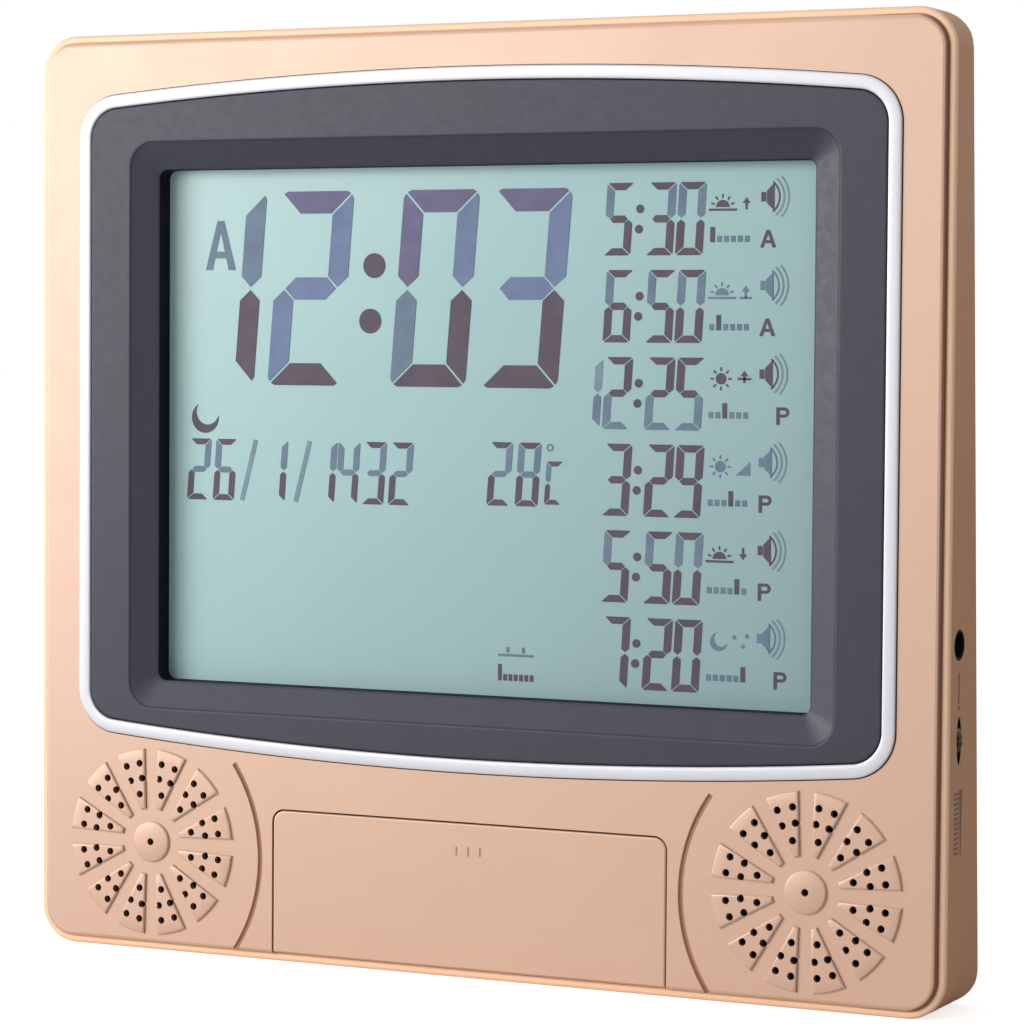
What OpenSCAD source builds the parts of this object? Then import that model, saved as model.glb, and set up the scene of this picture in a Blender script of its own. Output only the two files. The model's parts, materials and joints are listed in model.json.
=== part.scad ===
// Digital prayer clock: a wedge-shaped housing with a framed display, two
// drilled speaker grilles and a hinged key door, for a table or a wall.
// X runs to the right, Y from the face to the back, Z up. The origin is at
// the middle of the base.

/* [Case] */
// Width of the case
case_w = 244; // [230:1:260]
// Height of the case
case_h = 231; // [225:1:245]
// Depth of the case at its base
base_depth = 26; // [25:0.5:32]
// Depth of the case at its top
top_depth = 13.5; // [13:0.5:18]
// Corner radius of the case
case_r = 9.5; // [8:0.5:14]
// Wall of the rear case
wall = 2.2; // [1.8:0.1:2.6]
// Width of the ledge round the face
ledge = 1.6; // [1.2:0.1:2]
// Height of the face above the ledge
face_step = 1.5; // [1:0.1:2]
// Thickness of the face
face_t = 2.5; // [2:0.1:3]
// Gap between the face and the ledge
seam = 0.35; // [0.2:0.05:0.5]

/* [Display frame] */
// Width of the face beside the trim
trim_side = 12.3; // [11.5:0.1:16]
// Height of the face above the middle of the trim
trim_above = 10.7; // [10.5:0.1:14]
// Gap between the trim and the speakers below it
trim_below = 3.2; // [3.1:0.1:6]
// How far the long sides of the trim bow outwards
trim_bow = 5.5; // [3:0.5:7]
// Corner radius of the trim
trim_r = 11; // [9:0.5:14]
// Width of the trim
trim_w = 3.2; // [2.6:0.1:3.6]
// Height of the trim above the face
trim_proud = 0.6; // [0.4:0.1:1]
// Width of the bezel beside the display
bezel_side = 21.7; // [21.5:0.1:25]
// Height of the bezel above the display
bezel_above = 23.3; // [23:0.1:27]
// Height of the bezel below the display
bezel_below = 18.1; // [17.8:0.1:21]
// Width of the bevel round the display
bevel_w = 6.8; // [5:0.2:7]
// Depth of the bevel
bevel_t = 2.2; // [1.6:0.1:2.6]
// Depth of the display glass behind the face
glass_y = 7.5; // [7:0.1:7.6]
// Thickness of the display glass
glass_t = 2.6; // [2:0.1:2.8]

/* [Time digits] */
// Height of the time digits
digit_h = 48; // [40:1:50]
// Width of the time digits
digit_w = 20.6; // [18:0.2:22]
// Width of a segment
segment_w = 5.4; // [4:0.2:6]
// Slant of the digits in degrees
slant = 4.5; // [0:0.5:8]

/* [Grilles and speakers] */
// Width of the face beside each speaker
speaker_side = 10.7; // [10.3:0.1:12]
// Height of the face below each speaker
speaker_below = 4.7; // [4.5:0.1:6]
// Diameter of a grille hole
hole_d = 1.8; // [1.4:0.1:2.2]
// Radius of the outer holes
hole_r1 = 20; // [18:0.5:20.5]
// Radius of the middle holes
hole_r2 = 16.2; // [15:0.2:16.6]
// Radius of the inner holes
hole_r3 = 12.3; // [11:0.2:12.8]
// Outer radius of the raised fields
field_r = 23.6; // [22:0.2:24]
// Height of the raised fields
field_t = 0.4; // [0.3:0.05:0.6]
// Outer radius of a speaker
speaker_r = 23; // [20:0.5:23]
// Radius of the arc groove beside a grille
arc_r = 40.7; // [38:0.1:42]

/* [Key door] */
// Width of the face between the key door and each speaker
door_side = 12.3; // [12:0.1:15]
// Height of the top of the key door
door_top = 37.9; // [36:0.1:38.5]
// Thickness of the key door
door_t = 1.8; // [1.4:0.1:2]
// Gap round the key door
door_gap = 0.4; // [0.3:0.05:0.6]
// Radius of the hinge pins of the key door
pin_r = 1.1; // [0.8:0.05:1.2]
// Distance from key to key
key_pitch = 15.5; // [14:0.5:16]
// Width of a key cap
key_w = 10; // [8:0.5:11]
// Height of a key cap
key_h = 6; // [5:0.5:7]
// Travel of a key
key_travel = 0.9; // [0.6:0.1:1]

/* [Side controls] */
// Height of the power inlet
jack_z = 85.9; // [84:0.1:88]
// Gap between the power inlet and the display frame in front of it
jack_gap = 0.2; // [0.1:0.1:0.8]
// Radius of the opening for the power plug
jack_hole_r = 3.6; // [3.2:0.1:3.6]
// Height of the volume wheel
wheel_z = 63.9; // [62:0.1:66]
// Radius of the volume wheel
wheel_r = 6.2; // [5.8:0.1:6.4]
// Thickness of the volume wheel
wheel_t = 2.5; // [2:0.1:2.6]
// How far the wheel stands out of the side
wheel_out = 0.4; // [0.3:0.1:0.8]

/* [Back] */
// Length of the stand leg
leg_l = 76; // [60:1:76]
// Width of the stand leg at its hinge
leg_w = 33; // [26:1:34]
// Thickness of the stand leg
leg_t = 3; // [2.4:0.1:3.2]
// Radius of a battery cell
cell_r = 5.25; // [5.25:0.05:5.3]
// Length of a battery cell
cell_l = 44.5; // [44.5:0.1:44.6]
// Thickness of the battery hatch
hatch_t = 1.6; // [1.4:0.1:2]
// Distance of each wall-hanging slot from the side of the case
hanger_side = 16; // [16:0.5:20]
// Distance of the wall-hanging slots from the top of the case
hanger_above = 27; // [26:0.5:32]

/* [Hidden] */
$fn = 48;
eps = 0.01;
far = 400;

// Clearances
screw_fit = 0.05;
run_fit = 0.05;
part_gap = 0.1;
move_gap = 0.3;

// Wedge
tilt = atan((base_depth - top_depth) / case_h);
depth_mid = (base_depth - trim_proud) / 2;
function back_y(z) = base_depth - z * tan(tilt);
side_wall = wall + 0.6;
inner_x = case_w / 2 - side_wall;

// Face
face_inset = ledge + seam;
face_w = case_w - 2 * face_inset;
face_h = case_h - 2 * face_inset;
face_r = case_r - face_inset;
face_edge = 1;
skirt_inset = side_wall - face_inset + move_gap;
skirt_t = 1.6;
skirt_y = face_t + 2;

// Grilles and key door, laid out from the sides of the case
grille_x = case_w / 2 - speaker_side - speaker_r;
grille_z = speaker_below + speaker_r;
door_w = 2 * (grille_x - speaker_r - door_side);

// Display frame, laid out from the sides and the top of the case and from the
// speakers: its lower edge bows, so it is measured above a speaker's middle
trim_hw = case_w / 2 - trim_side;
bow_r = (trim_hw * trim_hw + trim_bow * trim_bow) / (2 * trim_bow);
trim_low = grille_z + speaker_r + trim_below - bow_r + sqrt(bow_r * bow_r - grille_x * grille_x);
trim_hh = (case_h - trim_above - trim_low) / 2;
frame_z = trim_low + trim_hh;
window_w = 2 * (trim_hw - bezel_side);
// rounded to hundredths, so that the parts of the window's cut meet exactly
window_h = 2 * round((trim_hh - (bezel_above + bezel_below) / 2) * 100) / 100;
window_z = round((trim_low + bezel_below + window_h / 2) * 100) / 100;

// Display stack
lap = 1.1;
flange_t = 1.8;
flange_out = 2;
flange_y = face_t + part_gap;
flange_back = flange_y + flange_t;
bezel_y = 0.25;
bezel_in = trim_w + part_gap;
glass_lip = 2.2;
glass_foot = 3.4;
glass_w = window_w + 2 * glass_lip;
glass_h = window_h + 2 * glass_foot;
glass_back = glass_y + glass_t;
holder_t = 1.4;
holder_back = glass_back + holder_t;
holder_w = glass_w + 3.2;
glass_low = window_z - glass_h / 2;
strip_h = 2.6;
strip_gap = 2;
board_t = 1.6;
board_y = holder_back + 1;
segment_t = 0.12;

// Screws
screw_r = 1.2;
head_r = 2.4;
head_t = 1.6;
short_l = 1.6;

// Posts of the bezel frame that carry the display holder
post_r = 3;
post_x = window_w / 2 + 10;
post_top_in = 7;
post_mid_low = 4.7;
post_low_in = 13;
post_low_gap = 5.5;
post_top_z = window_z + window_h / 2 - post_top_in;
post_mid_z = window_z - post_mid_low;
post_low_x = window_w / 2 - post_low_in;
post_low_z = glass_low - post_low_gap;
holder_posts = [[-post_x, post_top_z], [post_x, post_top_z], [-post_x, post_mid_z], [post_x, post_mid_z],
    [-post_low_x, post_low_z], [post_low_x, post_low_z]];

// Main board behind the lower right part of the display
board_w = 150;
board_h = 50;
board_x1 = holder_w / 2;
board_x0 = board_x1 - board_w;
board_low = glass_low - 1;
board_in = 5;
board_posts = [for (x = [board_x0 + board_in, board_x1 - board_in],
    z = [board_low + 14, board_low + board_h - board_in]) [x, z]];

// Battery bay
bay_low = 62;
bay_gap = 0.3;
contact_l = 3;
bay_l = cell_l + 2 * contact_l + 2 * bay_gap;
bay_w = 4 * cell_r + 1.4;
bay_x = -(inner_x - 1.6 - 1.2 - bay_w / 2);
bay_wall = 1.2;
bay_depth = hatch_t + 2 * cell_r + bay_gap;
hatch_w = bay_w + 2.4;
hatch_l = bay_l + 2.4;
hatch_pin_r = 0.6;
cell_y = -hatch_t - bay_gap / 2 - cell_r;
spring_wire_r = 0.25;
spring_r0 = 3.6;
spring_r1 = 2.3;
spring_turns = 2.25;

// Case screws: one in each corner and one above the battery bay and opposite
case_post_r = 3.6;
case_screw_r = 1.5;
case_head_r = 2.8;
case_head_t = 2;
corner_in = 8.2;
side_in = 6.4;
side_post_z = bay_low + hatch_l + 5.5;
corner_post_x = case_w / 2 - corner_in;
side_post_x = case_w / 2 - side_in;
case_posts = [[-corner_post_x, case_h - corner_in], [corner_post_x, case_h - corner_in],
    [-corner_post_x, corner_in], [corner_post_x, corner_in],
    [-side_post_x, side_post_z], [side_post_x, side_post_z]];
function post_meet(z) = back_y(z) - wall - 3.4;

// Ears of the bezel frame: place of each screw
ear_r = 2.6;
ear_x = 55;
ear_top = frame_z + trim_hh + 2.5;
ear_bottom = frame_z - trim_hh - 2.8;
ear_side = trim_hw + 4.4;
ear_side_z = side_post_z + 14.3;
bezel_ears = [[-ear_x, ear_top], [ear_x, ear_top], [-ear_x, ear_bottom], [ear_x, ear_bottom],
    [-ear_side, ear_side_z], [ear_side, ear_side_z]];

// Key door and tray
door_low = 2.05;
hinge_y = 2;
hinge_z = door_low + 2.95;
door_corner_r = 3;
pin_l = 2.4;
ear_w = 5;
ear_z = 9.2;
tray_y = 6.2;
tray_t = 1.2;
tray_wall = 1.2;
tray_hw = door_w / 2 + door_gap + tray_wall + 0.6;
tray_top = door_top + door_gap + tray_wall + 0.5;
tray_low = side_wall + 0.4;
key_count = 6;
key_z = 17;
key_front = tray_y - 2.5;
key_fit = 0.2;
key_flange_y = tray_y + tray_t + 0.15;
key_flange_t = 0.8;
dome_y = key_flange_y + key_flange_t + key_travel + 0.15;
dome_t = 1.2;
mat_y = dome_y + dome_t;
mat_t = 0.8;
key_board_y = mat_y + mat_t;
mat_edge = 7.4;
mat_h = 16;
keys_hw = (key_count - 1) / 2 * key_pitch + key_w / 2;
tab_w = 6.4;
tab_h = 6.8;
tab_boss_r = 2.8;
tab_screw_l = 2.8;
tab_hole_x = tray_hw + 4;
tab_z = [ear_z + 6.3, door_top - 4.4];
tray_tabs = [for (x = [tab_hole_x, -tab_hole_x], z = tab_z) [x, z]];
catch_z = door_top - 4.9;
catch_tab_l = 2.4;
catch_tab_w = 8;
catch_tab_t = 1.2;

// Speakers
seat_y = face_t + 0.6;
basket_t = 1.4;
basket_back = 11;
magnet_r = 14;
magnet_back = 17;
speaker_boss_r = 2.8;
speaker_screw_r = speaker_r + 3;
speaker_angles = [45, 135, 225, 315];
speaker_head_r = 3.4;
surround_r = speaker_r - 2.6;
surround_y = seat_y + 0.9;
arc_off = 9.2;
arc_drop = 2.4;
groove_w = 1;
groove_t = 0.45;

// Side controls
jack_half_y = 3.6;
jack_half_z = 4.5;
jack_y = flange_back + jack_gap + jack_half_y;
side_board_y = jack_y + jack_half_y;
side_board_w = 21;
side_board_under = 7.9;
side_board_over = 8;
side_board_x = case_w / 2 - side_board_w;
side_board_low = wheel_z - side_board_under;
side_board_top = jack_z + side_board_over;
wheel_y = 7.6;
wheel_x = case_w / 2 + wheel_out - wheel_r;
slot_gap = 0.33;
slot_y = 0.5;
slot_l = 2 * sqrt(wheel_r * wheel_r - (inner_x - wheel_x) * (inner_x - wheel_x)) + 2 * slot_gap;
shaft_r = 1.5;
jack_depth = 13.6;
barrel_r = 2.85;
side_post_in = 4;
side_post_low = 3.4;
side_post_high = 11.6;
side_posts = [for (z = [wheel_z - side_post_low, wheel_z + side_post_high]) [side_board_x + side_post_in, z]];

// Back
leg_gap = 0.4;
leg_recess = leg_t + 0.4;
leg_low = 3.6;
leg_pivot_z = leg_low + leg_l - leg_t / 2;
leg_pivot_y = -leg_recess + 0.2 + leg_t / 2;
leg_pin_r = 1.2;
leg_pin_l = 2;
pocket_wall = 1.8;
hanger_x = case_w / 2 - hanger_side;
hanger_z = case_h - hanger_above;
key_hole_r = 4.2;
key_slot_r = 2.2;
key_slot_l = 8;

// Temperature sensor and the vents behind it
sensor_x = 52;
sensor_below = 91;
sensor_z = case_h - sensor_below;

// Everything is drawn with the face at y = 0 and is then moved so that the
// origin is at the middle of the base.
module placed() translate([0, -depth_mid, 0]) children();

// A flat shape drawn in x and z, t thick from depth y
module slab(y, t) translate([0, y + t, 0]) rotate([90, 0, 0]) linear_extrude(t) children();

// A round bar along Y
module rod(x, z, r, y0, y1) translate([x, y0, z]) rotate([-90, 0, 0]) cylinder(r = r, h = y1 - y0);

// A round bar along X
module bar(y, z, r, x0, x1) translate([x0, y, z]) rotate([0, 90, 0]) cylinder(r = r, h = x1 - x0);

// A box from one corner to the other
module block(a, b) translate(a) cube(b - a);

module both_sides() {
    children();
    mirror([1, 0, 0]) children();
}

module rounded_rect(w, h, r) {
    square([w - 2 * r, h], center = true);
    square([w, h - 2 * r], center = true);
    for (sx = [-1, 1], sz = [-1, 1]) translate([sx * (w / 2 - r), sz * (h / 2 - r)]) circle(r);
}

// Steps of a front edge that is rounded by e and runs back to depth t
function round_edge(e, t) = concat([for (a = [0:30:90]) [e * (1 - sin(a)), e * (1 - cos(a))]], [[0, t]]);

// A rounded rectangle whose edge follows steps of [inset, depth], front first
module edge_slab(w, h, r, steps) {
    front = steps[0][1];
    back = steps[len(steps) - 1][1];
    outline = concat([[0, front]], [for (s = steps) [r - s[0], s[1]]], [[0, back]]);
    long_w = w - 2 * r;
    long_h = h - 2 * r;
    block([-long_w / 2, front, -long_h / 2], [long_w / 2, back, long_h / 2]);
    for (k = [0, 1]) mirror([k, 0, 0])
        translate([long_w / 2, 0, -long_h / 2]) linear_extrude(long_h) polygon(outline);
    for (k = [0, 1]) mirror([0, 0, k])
        translate([long_w / 2, 0, long_h / 2]) rotate([0, -90, 0]) linear_extrude(long_w) polygon(outline);
    for (k = [0:3])
        translate([(k == 0 || k == 3 ? 1 : -1) * long_w / 2, 0, (k < 2 ? -1 : 1) * long_h / 2])
            rotate([-90, 0, 0]) rotate([0, 0, 90 * k]) rotate_extrude(angle = 90) polygon(outline);
}

// Outline of the display frame, drawn inwards by inset: upright sides, bowed
// top and bottom, and rounded corners that run into both
bow_z = trim_hh - bow_r;
corner_x = trim_hw - trim_r;
corner_z = bow_z + sqrt((bow_r - trim_r) * (bow_r - trim_r) - corner_x * corner_x);
corner_a = atan2(corner_z - bow_z, corner_x);
function frame_quarter(inset) = concat(
    [for (i = [0:8]) let (a = corner_a * i / 8)
        [corner_x + (trim_r - inset) * cos(a), corner_z + (trim_r - inset) * sin(a)]],
    [for (i = [1:12]) let (a = corner_a + (90 - corner_a) * i / 12)
        [(bow_r - inset) * cos(a), bow_z + (bow_r - inset) * sin(a)]]);
function reversed(p) = [for (i = [len(p) - 1:-1:0]) p[i]];
function frame_outline(inset) = let (q = frame_quarter(inset), n = len(q)) concat(q,
    [for (i = [n - 2:-1:0]) [-q[i][0], q[i][1]]],
    [for (i = [0:n - 1]) [-q[i][0], -q[i][1]]],
    [for (i = [n - 2:-1:0]) [q[i][0], -q[i][1]]]);
module frame_shape(inset) translate([0, frame_z]) polygon(frame_outline(inset));
module frame_ring(y, t, outer, inner) slab(y, t) difference() {
    frame_shape(outer);
    frame_shape(inner);
}

// Space behind a plane that lies in from the slanted back by inset
module behind_back(inset) translate([0, base_depth - inset, 0]) rotate([tilt, 0, 0])
    translate([-far, 0, -far]) cube([2 * far, far, 3 * far]);

// Frame of the slanted back: y points out of it, z runs up along it
module on_back() translate([0, base_depth, 0]) rotate([tilt, 0, 0]) children();

// ---------------------------------------------------------------- front case

module grille_holes() for (k = [0:11]) rotate([0, 0, 15 + 30 * k]) {
    for (a = [-5.63, 5.63]) rotate([0, 0, a]) translate([hole_r1, 0]) circle(d = hole_d);
    for (a = [-5.9, 5.9]) rotate([0, 0, a]) translate([hole_r2, 0]) circle(d = hole_d);
    translate([hole_r3, 0]) circle(d = hole_d);
}

module grille_fields() {
    inner = 8.4;
    spread = 10.2;
    for (k = [0:11]) rotate([0, 0, 15 + 30 * k])
        polygon(concat([[inner, -0.7], [inner, 0.7]],
            [for (i = [2:-1:-2]) field_r * [cos(spread * i / 2), sin(spread * i / 2)]]));
    circle(5.2);
}

module arc_groove() slab(-eps, groove_t) intersection() {
    translate([grille_x + arc_off, grille_z - arc_drop]) difference() {
        circle(arc_r + groove_w / 2, $fn = 96);
        circle(arc_r - groove_w / 2, $fn = 96);
    }
    translate([grille_x - field_r - 12, 0]) square([20, grille_z + field_r + 4]);
}

module door_opening() {
    w = door_w + 2 * door_gap;
    r = door_corner_r + door_gap;
    top = door_top + door_gap;
    translate([0, top / 2 - far / 2]) rounded_rect(w, top + far, r);
}

module hinge_ear() difference() {
    x = door_w / 2 + door_gap;
    block([x, face_t - eps, face_inset + skirt_inset], [x + ear_w, hinge_y + pin_r + 2, ear_z]);
}

// Walls round the key bay, from the face back to the key tray, and the bosses
// that carry the tray
module bay_walls() {
    block([-tray_hw, face_t - eps, tray_top - tray_wall], [tray_hw, tray_y, tray_top]);
    both_sides() block([tray_hw - tray_wall, face_t - eps, ear_z - eps], [tray_hw, tray_y, tray_top]);
    for (p = tray_tabs) rod(p[0], p[1], tab_boss_r, face_t - eps, tray_y);
}

module front_case() color("#e9c6a8") placed() difference() {
    union() {
        bay_walls();
        translate([0, 0, case_h / 2]) edge_slab(face_w, face_h, face_r, round_edge(face_edge, face_t));
        slab(face_t - eps, skirt_y - face_t + eps) translate([0, case_h / 2]) difference() {
            rounded_rect(face_w - 2 * skirt_inset, face_h - 2 * skirt_inset, face_r - skirt_inset);
            rounded_rect(face_w - 2 * skirt_inset - 2 * skirt_t, face_h - 2 * skirt_inset - 2 * skirt_t,
                face_r - skirt_inset - skirt_t);
        }
        both_sides() {
            hinge_ear();
            translate([grille_x, 0, grille_z]) {
                slab(-field_t, field_t + eps) grille_fields();
                slab(face_t - eps, seat_y - face_t + eps) difference() {
                    circle(speaker_r);
                    circle(speaker_r - 2);
                }
                for (a = speaker_angles)
                    rod(speaker_screw_r * cos(a), speaker_screw_r * sin(a), speaker_boss_r,
                        face_t - eps, seat_y + basket_t);
            }
        }
        for (p = case_posts) rod(p[0], p[1], case_post_r, face_t - eps, post_meet(p[1]));
    }
    slab(-1, face_t + 2) frame_shape(lap);
    slab(-1, far) door_opening();
    both_sides() {
        translate([grille_x, 0, grille_z]) {
            slab(-1, face_t + 2) grille_holes();
            slab(-1, face_t + 2) circle(d = hole_d);
            for (a = speaker_angles)
                rod(speaker_screw_r * cos(a), speaker_screw_r * sin(a), screw_r + screw_fit,
                    face_t - 1.4, seat_y + basket_t + eps);
        }
        arc_groove();
        bar(hinge_y, hinge_z, pin_r + run_fit, door_w / 2, door_w / 2 + door_gap + pin_l + 0.4);
    }
    for (p = bezel_ears) rod(p[0], p[1], screw_r + screw_fit, face_t - short_l - 0.1, face_t + eps);
    for (p = tray_tabs) rod(p[0], p[1], screw_r + screw_fit, tray_y - tab_screw_l - 0.1, tray_y + eps);
    for (p = case_posts)
        rod(p[0], p[1], case_screw_r + screw_fit, face_t + 0.3, post_meet(p[1]) + eps);
}

// ----------------------------------------------------------------- rear case

module back_pocket(x0, x1, z0, z1, depth, y_out) on_back()
    block([x0, -depth, z0], [x1, y_out, z1]);

module keyhole() {
    circle(key_hole_r);
    translate([-key_slot_r, 0]) square([2 * key_slot_r, key_slot_l]);
    translate([0, key_slot_l]) circle(key_slot_r);
}

module rear_shell() difference() {
    translate([0, face_step, case_h / 2])
        edge_slab(case_w, case_h, case_r, round_edge(0.8, base_depth + 1));
    behind_back(0);
    // cavity, then the wider seat that takes the face
    difference() {
        slab(face_step - 1, far) translate([0, case_h / 2])
            rounded_rect(case_w - 2 * side_wall, case_h - 2 * side_wall, case_r - side_wall);
        behind_back(wall);
    }
    slab(face_step - 1, face_t - face_step + 1) translate([0, case_h / 2])
        rounded_rect(case_w - 2 * ledge, case_h - 2 * ledge, case_r - ledge);
}

module back_chamfers() on_back() {
    side = 1.4;
    up = case_h / cos(tilt);
    for (sx = [-1, 1]) translate([sx * case_w / 2, 0, up / 2]) rotate([0, 0, 45])
        cube([side, side, 2 * up], center = true);
    for (z = [0, up]) translate([0, 0, z]) rotate([45, 0, 0])
        cube([2 * case_w, side, side], center = true);
}

module leg_space(extra) block([-leg_w / 2 - leg_gap - extra, -leg_recess - extra, leg_low - leg_gap - extra],
    [leg_w / 2 + leg_gap + extra, extra > 0 ? -wall / 2 : 1, leg_low + leg_l + leg_gap + extra]);

module bay_space(extra) block([bay_x - bay_w / 2 - extra, -bay_depth - extra, bay_low - extra],
    [bay_x + bay_w / 2 + extra, extra > 0 ? -wall / 2 : 1, bay_low + bay_l + extra]);

module hatch_seat(extra) block(
    [bay_x - hatch_w / 2 - extra - move_gap, -hatch_t - move_gap - extra, bay_low - 1.2 - move_gap - extra],
    [bay_x + hatch_w / 2 + extra + move_gap, extra > 0 ? -wall / 2 : 1,
        bay_low - 1.2 + hatch_l + move_gap + extra]);

module rear_case() color("#c9a07c") placed() difference() {
    union() {
        rear_shell();
        intersection() {
            on_back() {
                leg_space(pocket_wall);
                bay_space(bay_wall);
                hatch_seat(0.9);
            }
            slab(face_t, far) translate([0, case_h / 2]) square([2 * inner_x + 1, case_h - 2 * side_wall + 1],
                center = true);
        }
        for (p = case_posts) difference() {
            rod(p[0], p[1], case_post_r + 0.6, post_meet(p[1]) + eps, base_depth);
            behind_back(wall / 2);
        }
        for (p = side_posts) difference() {
            rod(p[0], p[1], 2.6, side_board_y + board_t, base_depth);
            behind_back(wall / 2);
        }
    }
    back_chamfers();
    on_back() {
        leg_space(0);
        bay_space(0);
        hatch_seat(0);
        both_sides() {
            bar(leg_pivot_y, leg_pivot_z, leg_pin_r + run_fit, leg_w / 2, leg_w / 2 + leg_pin_l + 0.5);
            translate([leg_w / 2, 0, leg_low + 12]) rotate([90, 0, 0]) cylinder(r = 7, h = leg_t);
        }
        for (sx = [-1, 1]) bar(-hatch_t / 2, bay_low - 1.2 + hatch_t / 2, hatch_pin_r + run_fit,
            bay_x + sx * (hatch_w / 2 + move_gap) - 1.2, bay_x + sx * (hatch_w / 2 + move_gap) + 1.2);
        translate([bay_x, 0.01, bay_low - 1.2 + hatch_l + 1]) rotate([90, 0, 0]) cylinder(r = 5, h = 1.4);
    }
    for (p = case_posts) {
        rod(p[0], p[1], case_screw_r + screw_fit, post_meet(p[1]) - 1, far);
        rod(p[0], p[1], case_head_r + 0.3, post_meet(p[1]) + 1.4, far);
    }
    for (p = side_posts)
        rod(p[0], p[1], screw_r + screw_fit, side_board_y, side_board_y + board_t + 4);
    slab(back_y(hanger_z) - 2 * wall, far)
        for (sx = [-1, 1]) translate([sx * hanger_x, hanger_z]) keyhole();
    // sound slots behind the speakers, and vents near the sensor
    slab(back_y(grille_z) - 2 * wall, far) for (sx = [-1, 1], k = [-2:2])
        translate([sx * grille_x, grille_z + 7 * k]) rounded_rect(28, 2.6, 1.2);
    slab(back_y(hanger_z) - 2 * wall, far) for (k = [0:3])
        translate([sensor_x - 12, sensor_z - 10 + 7 * k]) rounded_rect(24, 2.4, 1.1);
    // side openings: power plug and volume wheel
    bar(jack_y, jack_z, jack_hole_r, inner_x - 1, case_w / 2 + 1);
    block([inner_x - 1, wheel_y - slot_y, wheel_z - slot_l / 2],
        [case_w / 2 + 1, wheel_y + wheel_t + slot_y, wheel_z + slot_l / 2]);
    // room for the lower edge of the key door to swing
    block([-door_w / 2 - door_gap, ledge + eps - 0.2, ledge],
        [door_w / 2 + door_gap, hinge_y + 3.5, side_wall + 1]);
}

// ------------------------------------------------------------- display stack

module silver_trim() color("#d7d9de") placed() {
    soft = 0.2;
    frame_ring(-trim_proud, soft, soft + 0.15, trim_w - soft - 0.15);
    frame_ring(-trim_proud + soft, soft, soft / 2, trim_w - soft / 2);
    frame_ring(-trim_proud + 2 * soft, trim_proud - 2 * soft, 0, trim_w);
    frame_ring(0, flange_y, lap + part_gap, trim_w);
}

module bezel_frame() color("#55555f") placed() difference() {
    wall_t = 1.6;
    union() {
        slab(flange_y, flange_t) {
            frame_shape(-flange_out);
            for (p = bezel_ears) translate(p) circle(ear_r);
        }
        slab(bezel_y, flange_y - bezel_y + eps) frame_shape(bezel_in);
        slab(flange_back - eps, glass_y - flange_back + eps) translate([0, window_z])
            rounded_rect(window_w + 2 * wall_t, window_h + 2 * wall_t, 2 + wall_t);
        for (p = holder_posts) rod(p[0], p[1], post_r, flange_back - eps, glass_back);
    }
    translate([0, 0, window_z]) edge_slab(window_w + 2 * bevel_w, window_h + 2 * bevel_w, bevel_w + 1.2,
        [[0, bezel_y - 1], [0, bezel_y], [bevel_w, bezel_y + bevel_t], [bevel_w, glass_y + 1]]);
    for (p = bezel_ears) rod(p[0], p[1], screw_r + screw_fit, flange_y - 1, flange_back + 1);
    for (p = holder_posts) rod(p[0], p[1], screw_r + screw_fit, flange_back, glass_back + 1);
}

module lcd_panel() color("#a9c8c4") placed() slab(glass_y, glass_t) translate([0, window_z])
    square([glass_w, glass_h], center = true);

// One segment: a bar with pointed ends, from the origin along x
module segment(l) {
    h = segment_w / 2;
    polygon([[0, 0], [h, h], [l - h, h], [l, 0], [l - h, -h], [h, -h]]);
}

// Segments that each digit lights, in the order: top, upper right, lower
// right, bottom, lower left, upper left, middle
lit = ["1111110", "0110000", "1101101", "1111001", "0110011", "1011011", "1011111", "1110000",
    "1111111", "1111011"];
module digit(n) {
    w = digit_w - segment_w;
    h = (digit_h - segment_w) / 2;
    g = 0.35;
    ends = [[[0, h], 0, w], [[w, 0], 90, h], [[w, -h], 90, h], [[0, -h], 0, w], [[0, -h], 90, h],
        [[0, 0], 90, h], [[0, 0], 0, w]];
    for (k = [0:6]) if (lit[n][k] == "1")
        translate([ends[k][0][0] - w / 2, ends[k][0][1]]) rotate(ends[k][1]) translate([g, 0])
            segment(ends[k][2] - 2 * g);
}

module sheared() multmatrix([[1, tan(slant), 0, 0], [0, 1, 0, 0], [0, 0, 1, 0]]) children();

module lcd_segments() color("#5f6480") placed()
    slab(glass_y - segment_t, segment_t) translate([0, window_z + window_h / 2 - 29.7]) sheared() {
        pitch = 24.7;
        colon_gap = 9.7;
        for (d = [[1, -2.5], [2, -1.5], [0, 0], [3, 1]])
            translate([-12.8 + pitch * d[1] + (d[1] < 0 ? -colon_gap + pitch / 2 : 0), 0]) digit(d[0]);
        for (z = [5.6, -8]) translate([-29.9, z]) circle(3);
    }

module lcd_holder() color("#d9d9d2") placed() difference() {
    low = glass_low;
    union() {
        slab(glass_back, holder_t) {
            translate([0, window_z + strip_h / 2 + 0.6])
                square([holder_w, glass_h - strip_h - 1.2 + 1.6], center = true);
            for (p = holder_posts) {
                translate(p) circle(post_r + 0.6);
                if (p[1] > low) translate([p[0] > 0 ? holder_w / 2 - 1 : p[0], p[1] - 3])
                    square([abs(p[0]) - holder_w / 2 + 1, 6]);
            }
            for (p = holder_posts) if (p[1] < low)
                translate([p[0] - 3, p[1]]) square([6, low + strip_h + 3 - p[1]]);
        }
        slab(glass_y, glass_t + eps) both_sides()
            translate([glass_w / 2 + part_gap, low + 6]) square([1.4, glass_h - 12]);
    }
    for (p = holder_posts) rod(p[0], p[1], screw_r + screw_fit, glass_y, far);
    for (p = board_posts) rod(p[0], p[1], screw_r + screw_fit, holder_back - 1.1, far);
}

module contact_strip() color("#b7848f") placed()
    block([board_x0 + 8, glass_back, glass_low + 0.3],
        [post_low_x - post_r - strip_gap, board_y, glass_low + strip_h - 0.3]);

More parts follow.
